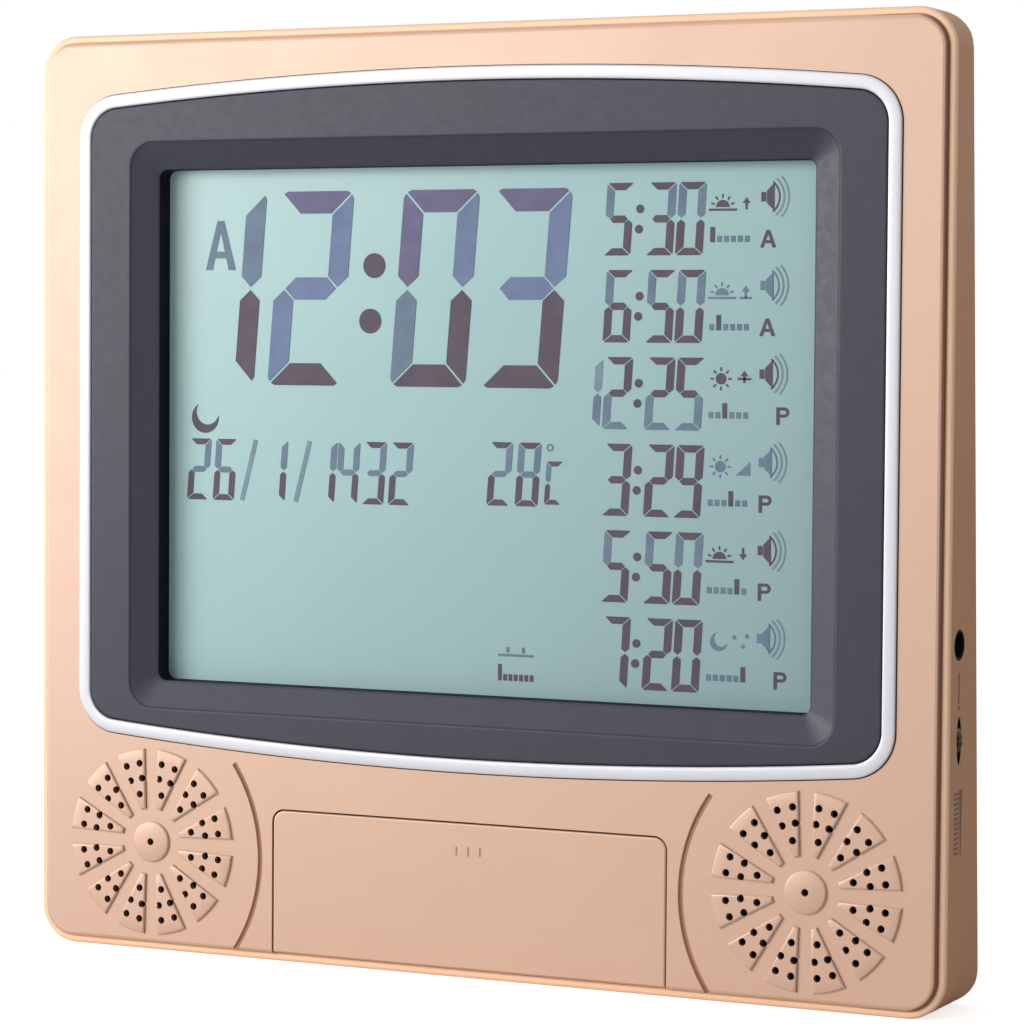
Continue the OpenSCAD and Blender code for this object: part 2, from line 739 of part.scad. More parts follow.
module main_board() color("#2f6b3c") placed() {
    difference() {
        block([board_x0, board_y, board_low], [board_x1, board_y + board_t, board_low + board_h]);
        for (p = board_posts) rod(p[0], p[1], screw_r + screw_fit, board_y - 1, board_y + board_t + 1);
    }
    for (p = board_posts) difference() {
        rod(p[0], p[1], 2.4, holder_back, board_y + eps);
        rod(p[0], p[1], screw_r + screw_fit, holder_back - 1, board_y + 1);
    }
}

module main_chip() color("#26262a") placed() {
    y = board_y + board_t;
    block([board_x1 - 50, y, board_low + 16], [board_x1 - 32, y + 1.6, board_low + 34]);
}

module crystal() color("#b9bcc2") placed() slab(board_y + board_t, 1.6)
    translate([board_x1 - 62, board_low + 25]) rounded_rect(4.6, 11, 2.2);

module capacitors() color("#3b4a78") placed() for (z = [8, 20])
    rod(board_x1 - 18, board_low + z, 2.5, board_y + board_t, board_y + board_t + 2.6);

// --------------------------------------------------------------- keys, door

module key_hole_shape(grow) rounded_rect(key_w + 2 * grow, key_h + 2 * grow, 1.6 + grow);

module each_key() for (k = [0:key_count - 1])
    translate([(k - (key_count - 1) / 2) * key_pitch, key_z]) children();

module key_tray() color("#d8b496") placed() slab(tray_y, tray_t) difference() {
    union() {
        translate([-tray_hw, tray_low]) square([2 * tray_hw, tray_top - tray_low]);
        for (z = tab_z) translate([0, z]) square([2 * (tray_hw + tab_w), tab_h], center = true);
    }
    each_key() key_hole_shape(key_fit);
    for (p = tray_tabs) translate(p) circle(screw_r + screw_fit);
}

module key_cap(k) color("#e7e2da") placed()
    translate([(k - 1 - (key_count - 1) / 2) * key_pitch, 0, key_z]) {
        edge_slab_at(key_front, key_w, key_h, 1.6, round_edge(0.5, key_flange_y - key_front + eps));
        slab(key_flange_y, key_flange_t) rounded_rect(key_w + 1.8, key_h + 1.8, 1.6);
    }
module edge_slab_at(y, w, h, r, steps) translate([0, y, 0]) edge_slab(w, h, r, steps);

module key_1() key_cap(1);
module key_2() key_cap(2);
module key_3() key_cap(3);
module key_4() key_cap(4);
module key_5() key_cap(5);
module key_6() key_cap(6);

module key_mat() color("#8d8f94") placed() {
    slab(mat_y, mat_t) translate([0, key_z]) square([2 * (keys_hw + mat_edge), mat_h], center = true);
    slab(dome_y, dome_t + eps) each_key() circle(2.6);
}

module key_board() color("#2f6b3c") placed() {
    block([-tray_hw, key_board_y, tray_low], [tray_hw, key_board_y + board_t, tray_top]);
    // spacers that carry the board on the tray
    for (x = [-tray_hw + 2, tray_hw - 2], z = [tray_low + 2, tray_top - 2])
        rod(x, z, 1.6, tray_y + tray_t, key_board_y + eps);
}

module key_door() color("#ecc9ac") placed() {
    rib = 1;
    difference() {
        union() {
            intersection() {
                translate([0, 0, door_top - (door_top + 20) / 2])
                    edge_slab(door_w, door_top + 20, door_corner_r, round_edge(0.4, door_t));
                union() {
                    block([-far, -1, hinge_z], [far, door_t + 1, door_top + 1]);
                    bar(hinge_y, hinge_z, hinge_z - door_low, -far, far);
                }
            }
            bar(hinge_y, hinge_z, pin_r, -door_w / 2 - door_gap - pin_l, -door_w / 2 + 4);
            bar(hinge_y, hinge_z, pin_r, door_w / 2 - 4, door_w / 2 + door_gap + pin_l);
            both_sides() block([door_w / 2 - 4, door_t - eps, hinge_z - pin_r],
                [door_w / 2 - 2, hinge_y + pin_r, hinge_z + pin_r]);
            // stiffening rib and catch tab on the inner side
            block([-door_w / 2 + 6, door_t - eps, hinge_z + 4], [door_w / 2 - 6, door_t + rib, hinge_z + 5]);
            block([-catch_tab_w / 2, door_t - eps, catch_z], [catch_tab_w / 2, door_t + catch_tab_l,
                catch_z + catch_tab_t]);
        }
    }
    // three short raised bars where a finger pushes
    for (x = [-3.2, 0, 3.2]) block([x - 1, -0.25, door_top - 7.8], [x + 1, eps, door_top - 5.6]);
}

module door_catch() color("#3a3a3e") placed() difference() {
    w = catch_tab_w / 2 + 2.2;
    block([-w, tray_y - 2.6, catch_z - 2], [w, tray_y, catch_z + catch_tab_t + 2.2]);
    block([-catch_tab_w / 2 - 0.5, tray_y - 3, catch_z - 0.4],
        [catch_tab_w / 2 + 0.5, door_t + catch_tab_l + 0.5, catch_z + catch_tab_t + 0.5]);
}

// ------------------------------------------------------------------ speakers

module at_speaker(side) placed() translate([side * grille_x, 0, grille_z]) rotate([-90, 0, 0]) children();

// Pressed basket: rim, ledge for the surround, sloping wall and a flat hub
module basket(side) color("#8c9096") at_speaker(side) rotate_extrude() polygon([[surround_r, seat_y],
    [speaker_r, seat_y], [speaker_r, seat_y + basket_t], [speaker_r - 2, seat_y + basket_t],
    [magnet_r, basket_back], [4, basket_back], [4, basket_back - 1], [magnet_r - 0.8, basket_back - 1],
    [surround_r - 0.8, seat_y + basket_t - 0.2], [surround_r - 0.8, surround_y], [surround_r, surround_y]]);

// Paper cone with its surround and dust cap
module cone(side) color("#33322f") at_speaker(side) rotate_extrude() polygon([[0, 6.6], [4.4, 7.2],
    [6, 8.4], [17, 4.3], [19.2, surround_y - 0.5], [surround_r - 0.1, surround_y - 0.5],
    [surround_r - 0.1, surround_y], [19.3, surround_y], [17.2, 4.8], [6, basket_back - 1.7],
    [5.4, basket_back - 1], [0, basket_back - 1]]);

module magnet(side) color("#2b2b2e") at_speaker(side) translate([0, 0, basket_back])
    cylinder(r = magnet_r, h = magnet_back - basket_back);

module left_basket() basket(-1);
module right_basket() basket(1);
module left_cone() cone(-1);
module right_cone() cone(1);
module left_magnet() magnet(-1);
module right_magnet() magnet(1);

// ------------------------------------------------------------- side controls

module side_board() color("#2f6b3c") placed() difference() {
    block([side_board_x, side_board_y, side_board_low],
        [inner_x - 0.4, side_board_y + board_t, side_board_top]);
    for (p = side_posts) rod(p[0], p[1], screw_r + screw_fit, side_board_y - 1, side_board_y + board_t + 1);
}

module volume_pot() color("#77797d") placed() {
    rod(wheel_x, wheel_z, shaft_r, wheel_y, wheel_y + wheel_t + 0.5);
    rod(wheel_x, wheel_z, 2.8, wheel_y + wheel_t + 0.3, side_board_y);
}

module volume_wheel() color("#1d1d1f") placed() difference() {
    rod(wheel_x, wheel_z, wheel_r, wheel_y, wheel_y + wheel_t);
    rod(wheel_x, wheel_z, shaft_r + run_fit, wheel_y - 1, wheel_y + wheel_t + 1);
    for (k = [0:23]) rod(wheel_x + wheel_r * cos(15 * k), wheel_z + wheel_r * sin(15 * k), 0.3,
        wheel_y - 1, wheel_y + wheel_t + 1, $fn = 16);
}

module dc_jack() color("#202024") placed() difference() {
    x1 = inner_x - part_gap;
    block([x1 - jack_depth, jack_y - jack_half_y, jack_z - jack_half_z],
        [x1, side_board_y, jack_z + jack_half_z]);
    bar(jack_y, jack_z, barrel_r, x1 - jack_depth + 2.4, x1 + 1);
}

module jack_pin() color("#c9ccd2") placed()
    bar(jack_y, jack_z, 1, inner_x - part_gap - jack_depth + 2.4, inner_x - 2.6);

module temperature_sensor() color("#5a2b1c") placed()
    translate([sensor_x, back_y(sensor_z) - wall - 2.2, sensor_z])
    rotate([0, 90, 0]) {
        cylinder(r = 1.4, h = 4);
        sphere(1.4);
        translate([-0.3, 0, 0]) cube([0.6, 2, 3]);
    }

// ---------------------------------------------------------------------- back

module battery_hatch() color("#c9a07c") placed() on_back() {
    low = bay_low - 1.2;
    r = hatch_t / 2;
    x0 = bay_x - hatch_w / 2;
    x1 = bay_x + hatch_w / 2;
    block([x0, -hatch_t, low + r], [x1, 0, low + hatch_l]);
    bar(-r, low + r, r, x0, x1);
    bar(-r, low + r, hatch_pin_r, x0 - move_gap - 0.8, x1 + move_gap + 0.8);
    for (k = [0:3]) block([bay_x - 6, -eps, low + hatch_l - 5 - 2 * k],
        [bay_x + 6, 0.25, low + hatch_l - 4 - 2 * k]);
}

module cell(side) color(side < 0 ? "#33507a" : "#2f4a70") placed() on_back()
    translate([bay_x + side * (cell_r + 0.2), cell_y, bay_low + bay_gap + contact_l]) {
        cylinder(r = cell_r, h = cell_l - 1);
        cylinder(r = 1.9, h = cell_l);
    }
module cell_1() cell(-1);
module cell_2() cell(1);

module cell_plates() color("#c4c7cc") placed() on_back() for (side = [-1, 1])
    translate([bay_x + side * (cell_r + 0.2), cell_y, 0]) for (z = [bay_low, bay_low + bay_l - 0.5])
        translate([-cell_r + 0.9, -cell_r + 0.9, z]) cube([2 * cell_r - 1.8, 2 * cell_r - 1.8, 0.5]);

// Cone-shaped contact spring from its base at z = 0: one wire wound from the
// wide turn up to the narrow one, with six sides and caps at both ends
module contact_spring(h) {
    sides = 6;
    rings = ceil(24 * spring_turns);
    points = [for (i = [0:rings], j = [0:sides - 1])
        let (a = 360 * spring_turns * i / rings, b = 360 * j / sides,
            r = spring_r0 + (spring_r1 - spring_r0) * i / rings + spring_wire_r * cos(b))
        [r * cos(a), r * sin(a), spring_wire_r + (h - 2 * spring_wire_r) * i / rings + spring_wire_r * sin(b)]];
    last = rings * sides;
    faces = concat(
        [for (i = [0:rings - 1], j = [0:sides - 1]) let (a = i * sides + j, b = i * sides + (j + 1) % sides)
            each [[a, a + sides, b + sides], [a, b + sides, b]]],
        [for (j = [1:sides - 2]) each [[0, j, j + 1], [last, last + j + 1, last + j]]]);
    polyhedron(points, faces);
}

module cell_springs() color("#c4c7cc") placed() on_back() for (side = [-1, 1])
    translate([bay_x + side * (cell_r + 0.2), cell_y, bay_low + 0.5])
        contact_spring(bay_gap + contact_l - 0.5 - part_gap);

module stand_leg() color("#c39a76") placed() on_back() {
    end = leg_low + leg_l;
    taper = 4;
    difference() {
        union() {
            slab(leg_pivot_y - leg_t / 2, leg_t) polygon([[-leg_w / 2 + taper, leg_low],
                [leg_w / 2 - taper, leg_low], [leg_w / 2, leg_low + 24], [leg_w / 2, leg_pivot_z],
                [-leg_w / 2, leg_pivot_z], [-leg_w / 2, leg_low + 24]]);
            bar(leg_pivot_y, leg_pivot_z, leg_t / 2, -leg_w / 2, leg_w / 2);
            bar(leg_pivot_y, leg_pivot_z, leg_pin_r, -leg_w / 2 - leg_gap - leg_pin_l,
                leg_w / 2 + leg_gap + leg_pin_l);
        }
        // two lightening grooves and the seat of the pad
        for (sx = [-1, 1]) slab(leg_pivot_y + leg_t / 2 - 1, 2)
            translate([sx * 7.5, (leg_low + end) / 2]) rounded_rect(7, 40, 2);
        block([-8, leg_pivot_y + leg_t / 2 - 0.8, leg_low + 2], [8, 1, leg_low + 8]);
    }
}

module stand_pad() color("#2a2a2a") placed() on_back()
    block([-8, leg_pivot_y + leg_t / 2 - 0.8, leg_low + 2], [8, leg_pivot_y + leg_t / 2, leg_low + 8]);

// -------------------------------------------------------------------- screws

module case_screws() color("#8a8d92") placed() for (p = case_posts) {
    seat = post_meet(p[1]) + 1.4;
    rod(p[0], p[1], case_screw_r, face_t + 0.8, seat + eps);
    rod(p[0], p[1], case_head_r, seat, seat + case_head_t);
}

module front_screws() color("#8a8d92") placed() {
    for (p = bezel_ears) {
        rod(p[0], p[1], screw_r, face_t - short_l, flange_back + eps);
        rod(p[0], p[1], head_r, flange_back, flange_back + head_t);
    }
    for (p = tray_tabs) {
        rod(p[0], p[1], screw_r, tray_y - tab_screw_l, tray_y + tray_t + eps);
        rod(p[0], p[1], head_r, tray_y + tray_t, tray_y + tray_t + head_t);
    }
}

module holder_screws() color("#8a8d92") placed() for (p = holder_posts) {
    rod(p[0], p[1], screw_r, flange_back + 1.2, holder_back + eps);
    rod(p[0], p[1], head_r, holder_back, holder_back + 0.9);
}

module speaker_screws() color("#8a8d92") placed() for (side = [-1, 1], a = speaker_angles) {
    x = side * (grille_x + speaker_screw_r * cos(a));
    z = grille_z + speaker_screw_r * sin(a);
    rod(x, z, screw_r, face_t - 0.9, seat_y + basket_t + eps);
    rod(x, z, speaker_head_r, seat_y + basket_t, seat_y + basket_t + 1.2);
}

module board_screws() color("#8a8d92") placed() {
    for (p = board_posts) {
        rod(p[0], p[1], screw_r, holder_back - 0.9, board_y + board_t + eps);
        rod(p[0], p[1], head_r, board_y + board_t, board_y + board_t + 1.2);
    }
    for (p = side_posts) {
        rod(p[0], p[1], screw_r, side_board_y - eps, side_board_y + board_t + 3);
        rod(p[0], p[1], head_r, side_board_y - 1.2, side_board_y);
    }
}

front_case();
rear_case();
silver_trim();
bezel_frame();
lcd_panel();
lcd_segments();
lcd_holder();
contact_strip();
main_board();
main_chip();
crystal();
capacitors();
key_board();
key_mat();
key_tray();
key_1();
key_2();
key_3();
key_4();
key_5();
key_6();
key_door();
door_catch();
left_basket();
left_cone();
left_magnet();
right_basket();
right_cone();
right_magnet();
side_board();
volume_pot();
volume_wheel();
dc_jack();
jack_pin();
temperature_sensor();
battery_hatch();
cell_1();
cell_2();
cell_springs();
cell_plates();
stand_leg();
stand_pad();
case_screws();
front_screws();
holder_screws();
speaker_screws();
board_screws();
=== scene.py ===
"""Looks of the digital table clock: materials, display artwork, rounded trim, light and camera."""
import json
import math

import bmesh
import bpy
from mathutils import Matrix, Vector
from mathutils.geometry import delaunay_2d_cdt


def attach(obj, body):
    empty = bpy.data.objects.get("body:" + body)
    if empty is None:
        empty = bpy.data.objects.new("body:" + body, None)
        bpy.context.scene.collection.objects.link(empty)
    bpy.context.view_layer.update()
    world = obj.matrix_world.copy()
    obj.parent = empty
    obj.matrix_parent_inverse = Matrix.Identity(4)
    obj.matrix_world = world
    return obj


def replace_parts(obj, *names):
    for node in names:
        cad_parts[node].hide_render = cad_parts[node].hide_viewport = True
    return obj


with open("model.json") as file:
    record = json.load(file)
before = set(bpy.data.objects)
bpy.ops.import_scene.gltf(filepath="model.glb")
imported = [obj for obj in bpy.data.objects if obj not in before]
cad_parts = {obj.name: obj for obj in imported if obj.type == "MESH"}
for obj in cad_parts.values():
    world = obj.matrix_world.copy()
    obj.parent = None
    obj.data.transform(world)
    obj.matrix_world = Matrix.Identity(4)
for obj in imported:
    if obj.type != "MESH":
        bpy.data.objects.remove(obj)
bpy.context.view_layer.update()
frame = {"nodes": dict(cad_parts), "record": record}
NODES = frame["nodes"]

MM = 0.001
FACE = -12.7  # row-frame Y of the face plane, in mm
GLASS = FACE + 7.5  # front of the display glass
CASE_W, CASE_H, CASE_R = 244.0, 231.0, 9.5  # outline of the case and its corners
SIDE_X = CASE_W / 2  # the right side
BASE_DEPTH, TOP_DEPTH = 26.0, 13.5
TILT = math.atan((BASE_DEPTH - TOP_DEPTH) / CASE_H)  # the back leans forward


# ------------------------------------------------------------------ materials

def lin(r, g, b):
    """An sRGB colour, 0 to 255, as the linear one that nodes take."""
    out = []
    for c in (r, g, b):
        c /= 255
        out.append(c / 12.92 if c <= 0.04045 else ((c + 0.055) / 1.055) ** 2.4)
    return (*out, 1)


class Mat:
    """A material with a Principled shader and short calls for its nodes."""

    def __init__(self, name):
        self.m = bpy.data.materials.new(name)
        self.m.use_nodes = True
        self.t = self.m.node_tree
        self.bsdf = self.t.nodes["Principled BSDF"]
        self.coords = self.t.nodes.new("ShaderNodeTexCoord").outputs["Object"]

    def link(self, a, b):
        self.t.links.new(a, b)

    def set(self, **values):
        for k, v in values.items():
            self.bsdf.inputs[k.replace("_", " ")].default_value = v
        return self

    def noise(self, scale, detail=3):
        n = self.t.nodes.new("ShaderNodeTexNoise")
        n.inputs["Scale"].default_value = scale
        n.inputs["Detail"].default_value = detail
        self.link(self.coords, n.inputs["Vector"])
        return n.outputs["Fac"]

    def cells(self, scale):
        n = self.t.nodes.new("ShaderNodeTexVoronoi")
        n.inputs["Scale"].default_value = scale
        self.link(self.coords, n.inputs["Vector"])
        return n

    def ramp(self, fac, *stops):
        n = self.t.nodes.new("ShaderNodeValToRGB")
        e = n.color_ramp.elements
        while len(e) < len(stops):
            e.new(0.5)
        for el, (at, colour) in zip(e, stops):
            el.position = at
            el.color = colour
        self.link(fac, n.inputs["Fac"])
        return n.outputs["Color"]

    def range(self, value, lo, hi, a=0.3, b=0.7):
        n = self.t.nodes.new("ShaderNodeMapRange")
        n.inputs["From Min"].default_value = a
        n.inputs["From Max"].default_value = b
        n.inputs["To Min"].default_value = lo
        n.inputs["To Max"].default_value = hi
        self.link(value, n.inputs["Value"])
        return n.outputs["Result"]

    def math(self, op, a, b):
        n = self.t.nodes.new("ShaderNodeMath")
        n.operation = op
        for socket, v in zip(n.inputs, (a, b)):
            if isinstance(v, (int, float)):
                socket.default_value = v
            else:
                self.link(v, socket)
        return n.outputs["Value"]

    def axis(self, i):
        n = self.t.nodes.new("ShaderNodeSeparateXYZ")
        self.link(self.coords, n.inputs["Vector"])
        return n.outputs[i]

    def band(self, i, start, full, lo=0, hi=1):
        """lo up to start and hi from full, in mm along an axis of the row frame."""
        return self.range(self.axis(i), lo, hi, start * MM, full * MM)

    def product(self, first, *others):
        for v in others:
            first = self.math("MULTIPLY", first, v)
        return first

    def facing(self, x, z):
        """How far the surface faces a direction across the front, from 0 to 1."""
        n = self.t.nodes.new("ShaderNodeVectorMath")
        n.operation = "DOT_PRODUCT"
        self.link(self.t.nodes.new("ShaderNodeNewGeometry").outputs["Normal"], n.inputs[0])
        n.inputs[1].default_value = (x, 0, z)
        return self.range(n.outputs["Value"], 0, 1, 0.0, 0.8)

    def mix(self, fac, a, b):
        n = self.t.nodes.new("ShaderNodeMix")
        n.data_type = "RGBA"
        self.link(fac, n.inputs[0])
        for socket, v in ((n.inputs[6], a), (n.inputs[7], b)):
            if isinstance(v, tuple):
                socket.default_value = v
            else:
                self.link(v, socket)
        return n.outputs[2]

    def colour(self, out):
        self.link(out, self.bsdf.inputs["Base Color"])
        return self

    def rough(self, out):
        self.link(out, self.bsdf.inputs["Roughness"])
        return self

    def bump(self, height, depth, strength=1.0):
        n = self.t.nodes.new("ShaderNodeBump")
        n.inputs["Strength"].default_value = strength
        n.inputs["Distance"].default_value = depth
        self.link(height, n.inputs["Height"])
        self.link(n.outputs["Normal"], self.bsdf.inputs["Normal"])
        return self


def shade(c, k):
    return (*[min(1, v * k) for v in c[:3]], 1)


def plain(name, colour, rough, spread=0.05, grain=900, depth=0.00002, vary=0.08, **values):
    """Moulded or painted stock: faint colour drift, uneven gloss and a fine grain."""
    m = Mat(name)
    n = m.noise(grain / 12, 4)
    m.colour(m.ramp(n, (0.3, shade(colour, 1 - spread)), (0.7, shade(colour, 1 + spread))))
    m.rough(m.range(m.noise(grain / 5, 3), rough - vary, rough + vary))
    m.bump(m.noise(grain, 2), depth)
    return m.set(**values).m


# Zones of the face lacquer's painted shade and of the ledge's painted highlight, in mm: depths from
# the face plane, heights and half widths from the middle of the base.
BELOW_DISPLAY = (55.8, 56.0)
SHALLOW, DEEP, INSIDE = (0.15, 0.6), (0.7, 1.0), (2.45, 2.7)
INNER_Z, INNER_X = (2.1, 2.4), (112.5, 113.0)
FLANK_DEPTH, FLANK_X = (0.1, 0.4), (113, 115)
RAISED, RAISED_FOOT = (-0.56, -0.46), (-0.08, -0.02)
LIT_LEDGE_DEPTH = (2.3, 2.6)


def in_depth(span):
    return [FACE + y for y in span]


def painted_recess_shade(m, ground):
    """Painted shade on the face's ground: darker in holes and gaps, on the right flank and on the
    edges of the raised grille fields that look away from the light."""
    low = m.band(2, *BELOW_DISPLAY, 1, 0)
    shallow = m.product(m.band(1, *in_depth(SHALLOW)), 0.42)
    deep = m.product(m.band(1, *in_depth(DEEP)), 0.58)
    across = m.math("ABSOLUTE", m.axis(0), 0)
    within = m.range(across, 1, 0, *[x * MM for x in INNER_X])
    near = m.band(1, *in_depth(INSIDE), 1, 0)
    inner = m.product(m.math("ADD", shallow, deep), low, m.band(2, *INNER_Z), within, near)
    # painted shade in the holes and gaps under the display
    ground = m.mix(inner, ground, lin(74, 42, 28))
    flank = m.product(m.band(1, *in_depth(FLANK_DEPTH)), m.band(0, *FLANK_X))
    # painted shade on the face's right flank, which faces away from the light
    ground = m.mix(flank, ground, lin(134, 86, 60))
    edge = m.product(m.band(1, *in_depth(RAISED)), low, m.band(1, *in_depth(RAISED_FOOT), 1, 0))
    # painted shade on the walls of the raised fields that face right and down, away from the light
    return m.mix(m.product(edge, m.facing(0.75, -0.65), 0.6), ground, lin(96, 58, 40))


def lacquer(name, colour, rough, metallic, coat, specular=0.5, recesses=False, rim=None):
    """Satin metallic lacquer: fine flake over a coloured ground, under a thin coat. With recesses,
    painted shade darkens holes and gaps, the right flank and the field edges away from the light."""
    m = Mat(name)
    flake = m.product(m.cells(5200).outputs["Distance"], 0.45)
    broad = m.product(m.noise(14, 2), 0.5)
    tone = m.math("ADD", flake, broad)
    ground = m.ramp(tone, (0.25, shade(colour, 0.96)), (0.62, shade(colour, 1.03)))
    if recesses:
        ground = painted_recess_shade(m, ground)
    # painted highlight: the ledge band round the face takes the lighter rim colour, as if lit by
    # the lamps
    if rim:
        ground = m.mix(m.band(1, *in_depth(LIT_LEDGE_DEPTH)), rim, ground)
    m.colour(ground)
    m.rough(m.range(m.noise(60, 3), rough - 0.03, rough + 0.03))
    m.bump(m.noise(2600, 2), 0.000012, 0.5)
    return m.set(Metallic=metallic, Coat_Weight=coat, Coat_Roughness=0.32,
                 Specular_IOR_Level=specular).m


def seam_material():
    """Joint round the face in painted light: pale where the light falls at the top and left, and
    brown as painted shade on the right.
    """
    m = Mat("seam_joint")
    # painted light and shade: pale on the lit left, brown on the shaded right
    ground = m.mix(m.band(0, 100, 106), lin(236, 190, 160), lin(205, 150, 116))
    m.colour(m.mix(m.product(m.noise(40, 3), 0.1), ground, lin(120, 80, 60)))
    m.rough(m.range(m.noise(200, 2), 0.5, 0.65))
    m.bump(m.noise(1400, 2), 0.00001, 0.4)
    return m.set(Specular_IOR_Level=0.2).m


def metal(name, colour, rough, depth=0.000008, spread=0.06, vary=0.06, metallic=1.0):
    m = Mat(name)
    grain = m.noise(900, 3)
    low, high = shade(colour, 1 - spread), shade(colour, 1 + spread / 2)
    m.colour(m.ramp(grain, (0.3, low), (0.7, high)))
    m.rough(m.range(m.noise(240, 2), rough - vary, rough + vary))
    if depth:
        m.bump(grain, depth)
    return m.set(Metallic=metallic).m


def display_material():
    """Reflective liquid crystal: pale teal, with painted light: lighter at the upper left and
    darker towards the lower right.
    """
    m = Mat("display")
    # painted light: lighter at the upper left, falling off across and down
    across = m.range(m.axis(0), 0, 1, -0.09, 0.09)
    down = m.range(m.axis(2), 1, 0, 0.066, 0.2)
    painted_light_falloff = m.math("ADD", m.product(across, 0.55), m.product(down, 0.45))
    mottle_and_painted_light = m.math("ADD", painted_light_falloff, m.product(m.noise(22, 3), 0.12))
    m.colour(m.ramp(mottle_and_painted_light, (0.06, lin(198, 227, 225)), (0.42, lin(172, 206, 207)),
                    (1.0, lin(148, 176, 178))))
    m.rough(m.range(m.noise(300, 2), 0.42, 0.5))
    m.bump(m.noise(3500, 2), 0.000006, 0.4)
    return m.set(Specular_IOR_Level=0.25).m


def ink(name, colour):
    m = Mat(name)
    n = m.noise(160, 3)
    m.colour(m.ramp(n, (0.3, shade(colour, 0.9)), (0.7, shade(colour, 1.12))))
    m.rough(m.range(m.noise(400, 2), 0.42, 0.52))
    return m.set(Specular_IOR_Level=0.25).m


def board_material():
    m = Mat("board")
    mottle = m.cells(420).outputs["Distance"]
    m.colour(m.ramp(mottle, (0.0, lin(22, 84, 42)), (0.45, lin(30, 104, 52)),
                    (0.8, lin(44, 122, 62))))
    m.rough(m.range(m.noise(500, 2), 0.3, 0.45))
    m.bump(mottle, 0.00003)
    return m.set(Coat_Weight=0.2).m


def cell_material():
    """Printed sleeve of a battery cell: dark body, pale band round the upper end."""
    m = Mat("cell_wrap")
    up = m.band(2, 62, 112)
    m.colour(m.ramp(up, (0.0, lin(40, 66, 108)), (0.74, lin(46, 74, 120)),
                    (0.76, lin(205, 168, 92)), (0.93, lin(214, 178, 100)),
                    (0.95, lin(190, 192, 196))))
    m.rough(m.range(m.noise(200, 2), 0.25, 0.36))
    m.bump(m.noise(600, 2), 0.00001)
    return m.set(Metallic=0.35, Coat_Weight=0.3).m


def gauze_material():
    """Black acoustic cloth: two crossed weaves."""
    m = Mat("gauze")
    threads = []
    for direction in "XZ":
        wave = m.t.nodes.new("ShaderNodeTexWave")
        wave.bands_direction = direction
        wave.inputs["Scale"].default_value = 700
        m.link(m.coords, wave.inputs["Vector"])
        threads.append(wave.outputs["Fac"])
    weave = m.product(*threads)
    m.colour(m.ramp(weave, (0.0, lin(10, 7, 6)), (1.0, lin(32, 24, 22))))
    m.rough(m.range(m.noise(500, 2), 0.8, 0.95))
    m.bump(weave, 0.00004)
    return m.set(Specular_IOR_Level=0.1).m


PEACH = lin(216, 175, 149)
MATERIALS = {
    "face_plastic": lacquer("face_lacquer", PEACH, 0.42, 0.15, 0.35, specular=0.7, recesses=True),
    # darker, deeper peach than the face's: painted shade for the sides, which face away from the
    # lamps; the rim colour is the ledge's painted highlight
    "rear_plastic": lacquer("rear_lacquer", lin(205, 154, 116), 0.5, 0.15, 0, specular=0.15,
                            rim=lin(252, 211, 178)),
    "silver_trim": metal("trim_silver", lin(222, 222, 228), 0.36, 0, 0.025, 0.03, metallic=0.15),
    "dark_bezel": plain("bezel_plastic", lin(60, 60, 73), 0.42, 0.04, 2400, 0.000012, 0.04,
                        Specular_IOR_Level=0.32),
    "display": display_material(),
    "segments": ink("ink_dark", lin(88, 76, 88)),
    "white_plastic": plain("holder_plastic", lin(214, 214, 206), 0.5),
    "strip": plain("strip_rubber", lin(176, 132, 140), 0.7, 0.1, 1400),
    "board": board_material(),
    "black_plastic": plain("black_plastic", lin(30, 26, 26), 0.5, 0.15, 1400, 0.00002,
                           Specular_IOR_Level=0.3),
    "capacitor": plain("capacitor_sleeve", lin(52, 66, 112), 0.35, 0.06, 700, 0.00001,
                       Metallic=0.3),
    "bare_metal": metal("bare_metal", lin(196, 198, 203), 0.3),
    "key_rubber": plain("key_rubber", lin(132, 134, 140), 0.7, 0.06, 1600),
    "key_plastic": plain("key_plastic", lin(232, 226, 216), 0.45, 0.03, 1500, 0.00001),
    "sensor": plain("sensor_bead", lin(92, 42, 28), 0.3, 0.12, 800, 0.00002),
    "cell_wrap": cell_material(),
    "rubber": plain("pad_rubber", lin(40, 40, 42), 0.8, 0.12, 1800, 0.00004),
    "paper_cone": plain("cone_paper", lin(48, 46, 43), 0.85, 0.2, 1100, 0.00006),
    "ferrite": plain("magnet_ferrite", lin(46, 46, 50), 0.6, 0.2, 1200, 0.00004,
                     Metallic=0.4),
    "screw_steel": metal("screw_steel", lin(176, 178, 184), 0.32),
}
INKS = {
    "dark": MATERIALS["segments"],
    "purple": ink("ink_purple", lin(106, 101, 134)),
    "blue": ink("ink_blue", lin(110, 126, 160)),
    "slate": ink("ink_slate", lin(106, 126, 146)),
    "pale": ink("ink_pale", lin(122, 146, 156)),
}


def matt(name, colour, rough, spread, specular):
    return plain(name, colour, rough, spread, 1400, 0.00001, Specular_IOR_Level=specular)


